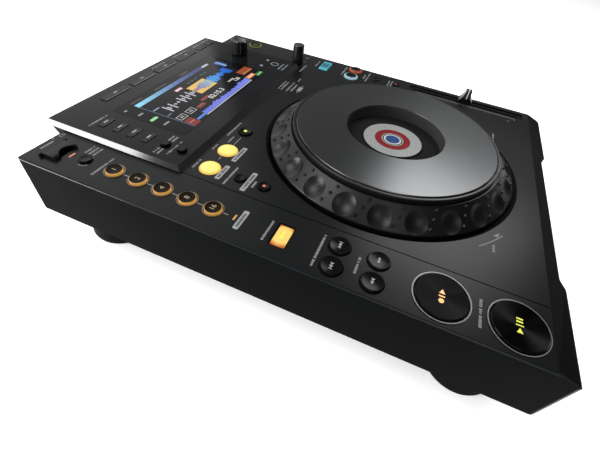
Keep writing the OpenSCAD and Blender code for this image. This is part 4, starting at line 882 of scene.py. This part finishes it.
header = screen["header"]   # pale at its left end and fading to indigo
for i in range(header["count"]):
    left = header["left"] + header["step"] * i
    cell(left, header["low"], left + header["step"], header["high"],
         mixHex(header["from"], header["to"], min(1.0, i / 10)))
cell(188.5, 327, 199, 330, "#b8bccb")
for x, width in ((99, 14), (131, 17), (166, 12)):
    cell(x - width / 2, 334.2, x + width / 2, 335.8, "#4d4040")
cell(203.5, 311, 205.6, 324.5, "#2e66b4")
cell(206.2, 311, 208.8, 324.5, "#9db4e0")
cell(209.4, 313, 211.2, 323, "#2e66b4")
cell(91.5, 272, 92.1, 326, "#5c7a94")
cell(93, 312.4, 100.5, 313.8, "#8fa0c4")
cell(93, 298.4, 98.5, 299.6, "#6f7c9c")
for x, reach in ((102.3, 6), (104.6, 2.5), (109.2, 5.5), (113, 1.2), (117, 1.4), (121.6, 5.6),
                 (124.2, 2), (127.6, 6), (130.8, 2), (134.6, 6), (137.4, 2.4), (139.6, 1.4)):
    cell(x - 0.7, 305.6 - reach, x + 0.7, 305.6 + reach, "#c9ccd0")
cell(101, 305.2, 141, 306, "#8d9094")
cell(131.5, 317.4, 140.5, 320.6, "#f0c4d0")
for x in (150, 156, 162, 172, 178):
    cell(x, 318.4, x + 4, 320.6, "#34463e")
cell(141.5, 297.8, 167.8, 314.6, "#e6b95c")
wave(142.2, 167.4, 305.8, 6.2, 0.8, ("#1f4fb8", "#4fc3ee"), 3)
wave(168.2, 201, 305.8, 6.4, 0.8, ("#2f9fe8", "#1f5fd0"), 5)
for x in (93.5, 106):   # two small boxed marks
    for a, b, c, d in ((0, 0, 9.4, 0.7), (0, 6, 9.4, 6.7), (0, 0, 0.7, 6.7), (8.7, 0, 9.4, 6.7),
                       (3.2, 1.8, 4.2, 4.8), (5.2, 1.8, 6.2, 4.8)):
        cell(x + a, 285.3 + b, x + c, 285.3 + d, "#b9b9b9")
cell(118, 284.4, 128.6, 288, "#7e2f26")
cell(119, 287, 127.4, 288.2, "#c8a49a")
cell(130.2, 289.4, 142, 292.6, "#8a2f2c")
cell(176, 289.6, 186, 291.6, "#b8bca8")
cell(198.5, 285.4, 217, 295, "#9c4a22")
cell(199.5, 286.4, 216, 287.4, "#d8a98c")
cell(194, 276.6, 207.5, 281.8, "#e88a5e")
cell(196, 278, 205.5, 280.4, "#f6d4c2")
cell(205.8, 272.2, 217, 277.6, "#2f7a35")
cell(207, 274, 216, 275.4, "#cfe8c8")
cell(92.6, 272, 101.4, 283.4, "#7e2626")
cell(93.6, 277.4, 100.4, 278.8, "#c88f86")
cell(102, 274.8, 114, 277.4, "#4f86d8")
wave(114, 193.4, 278.4, 4.0, 0.9, ("#6a78e0", "#7f8ef0"), 9, under=274.6)
cell(113, 273.4, 193.4, 274.2, "#d6d8e4")

bm = bmesh.new()
layer = bm.loops.layers.float_color.new("tint")
for outline, colour in cells:
    face = bm.faces.new([bm.verts.new(deckPoint(x, y, screen["level"] + screen["lift"])) for x, y in outline])
    for loop in face.loops:
        loop[layer] = hexColour(colour)
mesh = bpy.data.meshes.new("screenPicture")
bm.to_mesh(mesh)
bm.free()
material, tree, bsdf = newMaterial("litScreenCells", {
    "Base Color": hexColour("#050505"), "Roughness": 0.08,
    "Specular IOR Level": 0.07, "Emission Strength": screen["glow"]})
tint = addNode(tree, "ShaderNodeVertexColor", {"layer_name": "tint"})
tree.links.new(tint.outputs["Color"], bsdf.inputs["Emission Color"])
newPiece("screenPicture", mesh, material, "chassis")
for number in screen["numbers"]:
    numberPiece(*number, glowWhite, "chassis", screen["level"], slot="screen")
# icons left of the picture: one lit, three dim
printSheet("iconLampGreen", [pill(83.6, 305, 8.4, 3.2)], glowGreen, body["panelTop"])
printSheet("iconLampsDim", [pill(81.2, 331, 3.4, 2.2), pill(83.6, 318, 6, 2), pill(83.6, 293, 7, 2)],
           inkGrey, body["panelTop"] - 0.03, thick=0.04)
print("screen drawn")

# small lamps on the deck and on the keys
printSheet("lampUsb", [bar(20.3, 326.2, 5.4, 1.4)], glowOrange, 0)
printSheet("lampBeat", [bar(column, 195, 5.0, 1.3)], glowAmber, 0)
printSheet("reloopLamp", [disc(112, 236.8, 1.5)], glowPlay, keyTops["small"], "reloop_key")
printSheet("slipLamp", [disc(56.5, 192, 1.2)], glowOrange, keyTops["small"], "slip_key")
printSheet("ejectMark", [arrow(288.5, 319.6, 2.2), bar(288.5, 317.4, 2.6, 0.5)],
           glowLime, keyTops["eject"], "eject_key")
printSheet("masterTempoLamp", [disc(287, 142.5, 1.2)],
           glowBrick, keyTops["masterTempo"], "master_tempo_key")

# white line over the slider's cap and down its left face
sliderLine = {
    "x": 291.2,
    "y": 66.5,
    "halfWidth": 0.42,
    # outline in x and z from the cap's middle
    "outline": [(3.2, 13.22), (-3.18, 13.22), (-5.52, 5.6), (-5.58, 5.62), (-3.24, 13.28), (3.2, 13.28)],
}
bm = bmesh.new()
ends = [[bm.verts.new(deckPoint(sliderLine["x"] + x, sliderLine["y"] + side, z))
         for x, z in sliderLine["outline"]]
        for side in (-sliderLine["halfWidth"], sliderLine["halfWidth"])]
bm.faces.new(ends[0])
bm.faces.new(ends[1][::-1])
for i in range(len(ends[0])):
    k = (i + 1) % len(ends[0])
    bm.faces.new((ends[0][k], ends[0][i], ends[1][i], ends[1][k]))
mesh = bpy.data.meshes.new("sliderLine")
bm.to_mesh(mesh)
bm.free()
newPiece("sliderLine", mesh, inkWhite, "tempo_slider")
print("lamps lit")

# floor, world and lamps
studio = {
    "floor": "#f2f2f2",
    "floorHalf": 12.0,
    "floorLift": 0.5,    # glow that only the camera and reflections see
    # light from the walls at table height and from the darker ceiling, and how high it changes
    "wallLight": 0.8,
    "ceilingLight": 0.3,
    "ceilingFrom": (0.05, 0.35),
    # share of that light left where a black flag hangs, which way that is, and how it sets in
    "flagShare": 0.25,
    "flagTowards": (0.6, -1.0, 0.0),
    "flagFrom": (0.15, 0.65),
    # name, place, size, strength, aim
    "lamps": [
        ("keyLamp", (0.84, -0.31, 0.931), (0.55, 0.38), 7.5, (0, -0.05, 0.1)),
        ("leftLamp", (-1.0, -0.5, 1.3), (0.6, 0.8), 3.5, (0, 0, 0.08)),
        ("rearLamp", (0.62, 1.08, 1.0), (1.3, 1.3), 9, (0, 0, 0.08)),
        ("topLamp", (-0.43, 0.72, 1.23), (0.7, 0.7), 12, (0, 0, 0.08)),
        ("edgeLamp", (-0.76, 0.98, 0.23), (0.6, 0.36), 13, (-0.11, 0.1, 0.09)),
    ],
}
world = bpy.data.worlds.new("studioWorld")
bpy.context.scene.world = world
world.use_nodes = True
tree = world.node_tree
tree.nodes.clear()
where = addNode(tree, "ShaderNodeTexCoord")
parts = addNode(tree, "ShaderNodeSeparateXYZ", None, {"Vector": where.outputs["Generated"]})
towards = addNode(tree, "ShaderNodeVectorMath", {"operation": "DOT_PRODUCT"}, {
    0: where.outputs["Generated"], 1: studio["flagTowards"]})
rise = addNode(tree, "ShaderNodeMapRange", {"interpolation_type": "SMOOTHSTEP"}, {
    "Value": parts.outputs["Z"], "From Min": studio["ceilingFrom"][0], "From Max": studio["ceilingFrom"][1],
    "To Min": studio["wallLight"], "To Max": studio["ceilingLight"]})
flag = addNode(tree, "ShaderNodeMapRange", {"interpolation_type": "SMOOTHSTEP"}, {
    "Value": towards.outputs["Value"], "From Min": studio["flagFrom"][0], "From Max": studio["flagFrom"][1],
    "To Min": 1.0, "To Max": studio["flagShare"]})
shaped = addNode(tree, "ShaderNodeMath", {"operation": "MULTIPLY"}, {
    0: rise.outputs["Result"], 1: flag.outputs["Result"]})
light = addNode(tree, "ShaderNodeBackground", None, {"Color": (1, 1, 1, 1), "Strength": shaped.outputs[0]})
addNode(tree, "ShaderNodeOutputWorld", None, {"Surface": light.outputs[0]})

half = studio["floorHalf"]
floorMesh = bpy.data.meshes.new("floor")
floorMesh.from_pydata(
    [(-half, -half, 0), (half, -half, 0), (half, half, 0), (-half, half, 0)], [], [(0, 1, 2, 3)])
floor = bpy.data.objects.new("floor", floorMesh)
bpy.context.scene.collection.objects.link(floor)
# matt pale card that shows white to the camera and in reflections, and keeps the object's shadow
material = bpy.data.materials.new("paleFloor")
material.use_nodes = True
tree = material.node_tree
tree.nodes.clear()
path = addNode(tree, "ShaderNodeLightPath")
seen = addNode(tree, "ShaderNodeMath", {"operation": "MAXIMUM"}, {
    0: path.outputs["Is Camera Ray"], 1: path.outputs["Is Glossy Ray"]})
seen = addNode(tree, "ShaderNodeMath", {"operation": "MAXIMUM"}, {
    0: seen.outputs[0], 1: path.outputs["Is Transmission Ray"]})
matt = addNode(tree, "ShaderNodeBsdfDiffuse", None, {"Color": hexColour(studio["floor"])})
lift = addNode(tree, "ShaderNodeMath", {"operation": "MULTIPLY"}, {
    0: seen.outputs[0], 1: studio["floorLift"]})
glow = addNode(tree, "ShaderNodeEmission", None, {"Color": (1, 1, 1, 1), "Strength": lift.outputs[0]})
both = addNode(tree, "ShaderNodeAddShader", None, {0: matt.outputs[0], 1: glow.outputs[0]})
addNode(tree, "ShaderNodeOutputMaterial", None, {"Surface": both.outputs[0]})
floorMesh.materials.append(material)

for name, place, size, strength, aim in studio["lamps"]:
    data = bpy.data.lights.new(name, "AREA")
    data.shape = "RECTANGLE"
    data.size, data.size_y = size
    data.energy = strength
    lamp = bpy.data.objects.new(name, data)
    bpy.context.scene.collection.objects.link(lamp)
    lamp.location = place
    lamp.visible_camera = False
    lamp.rotation_euler = (Vector(aim) - Vector(place)).to_track_quat("-Z", "Y").to_euler()

bpy.context.scene.view_settings.view_transform = "Standard"
print("studio set")
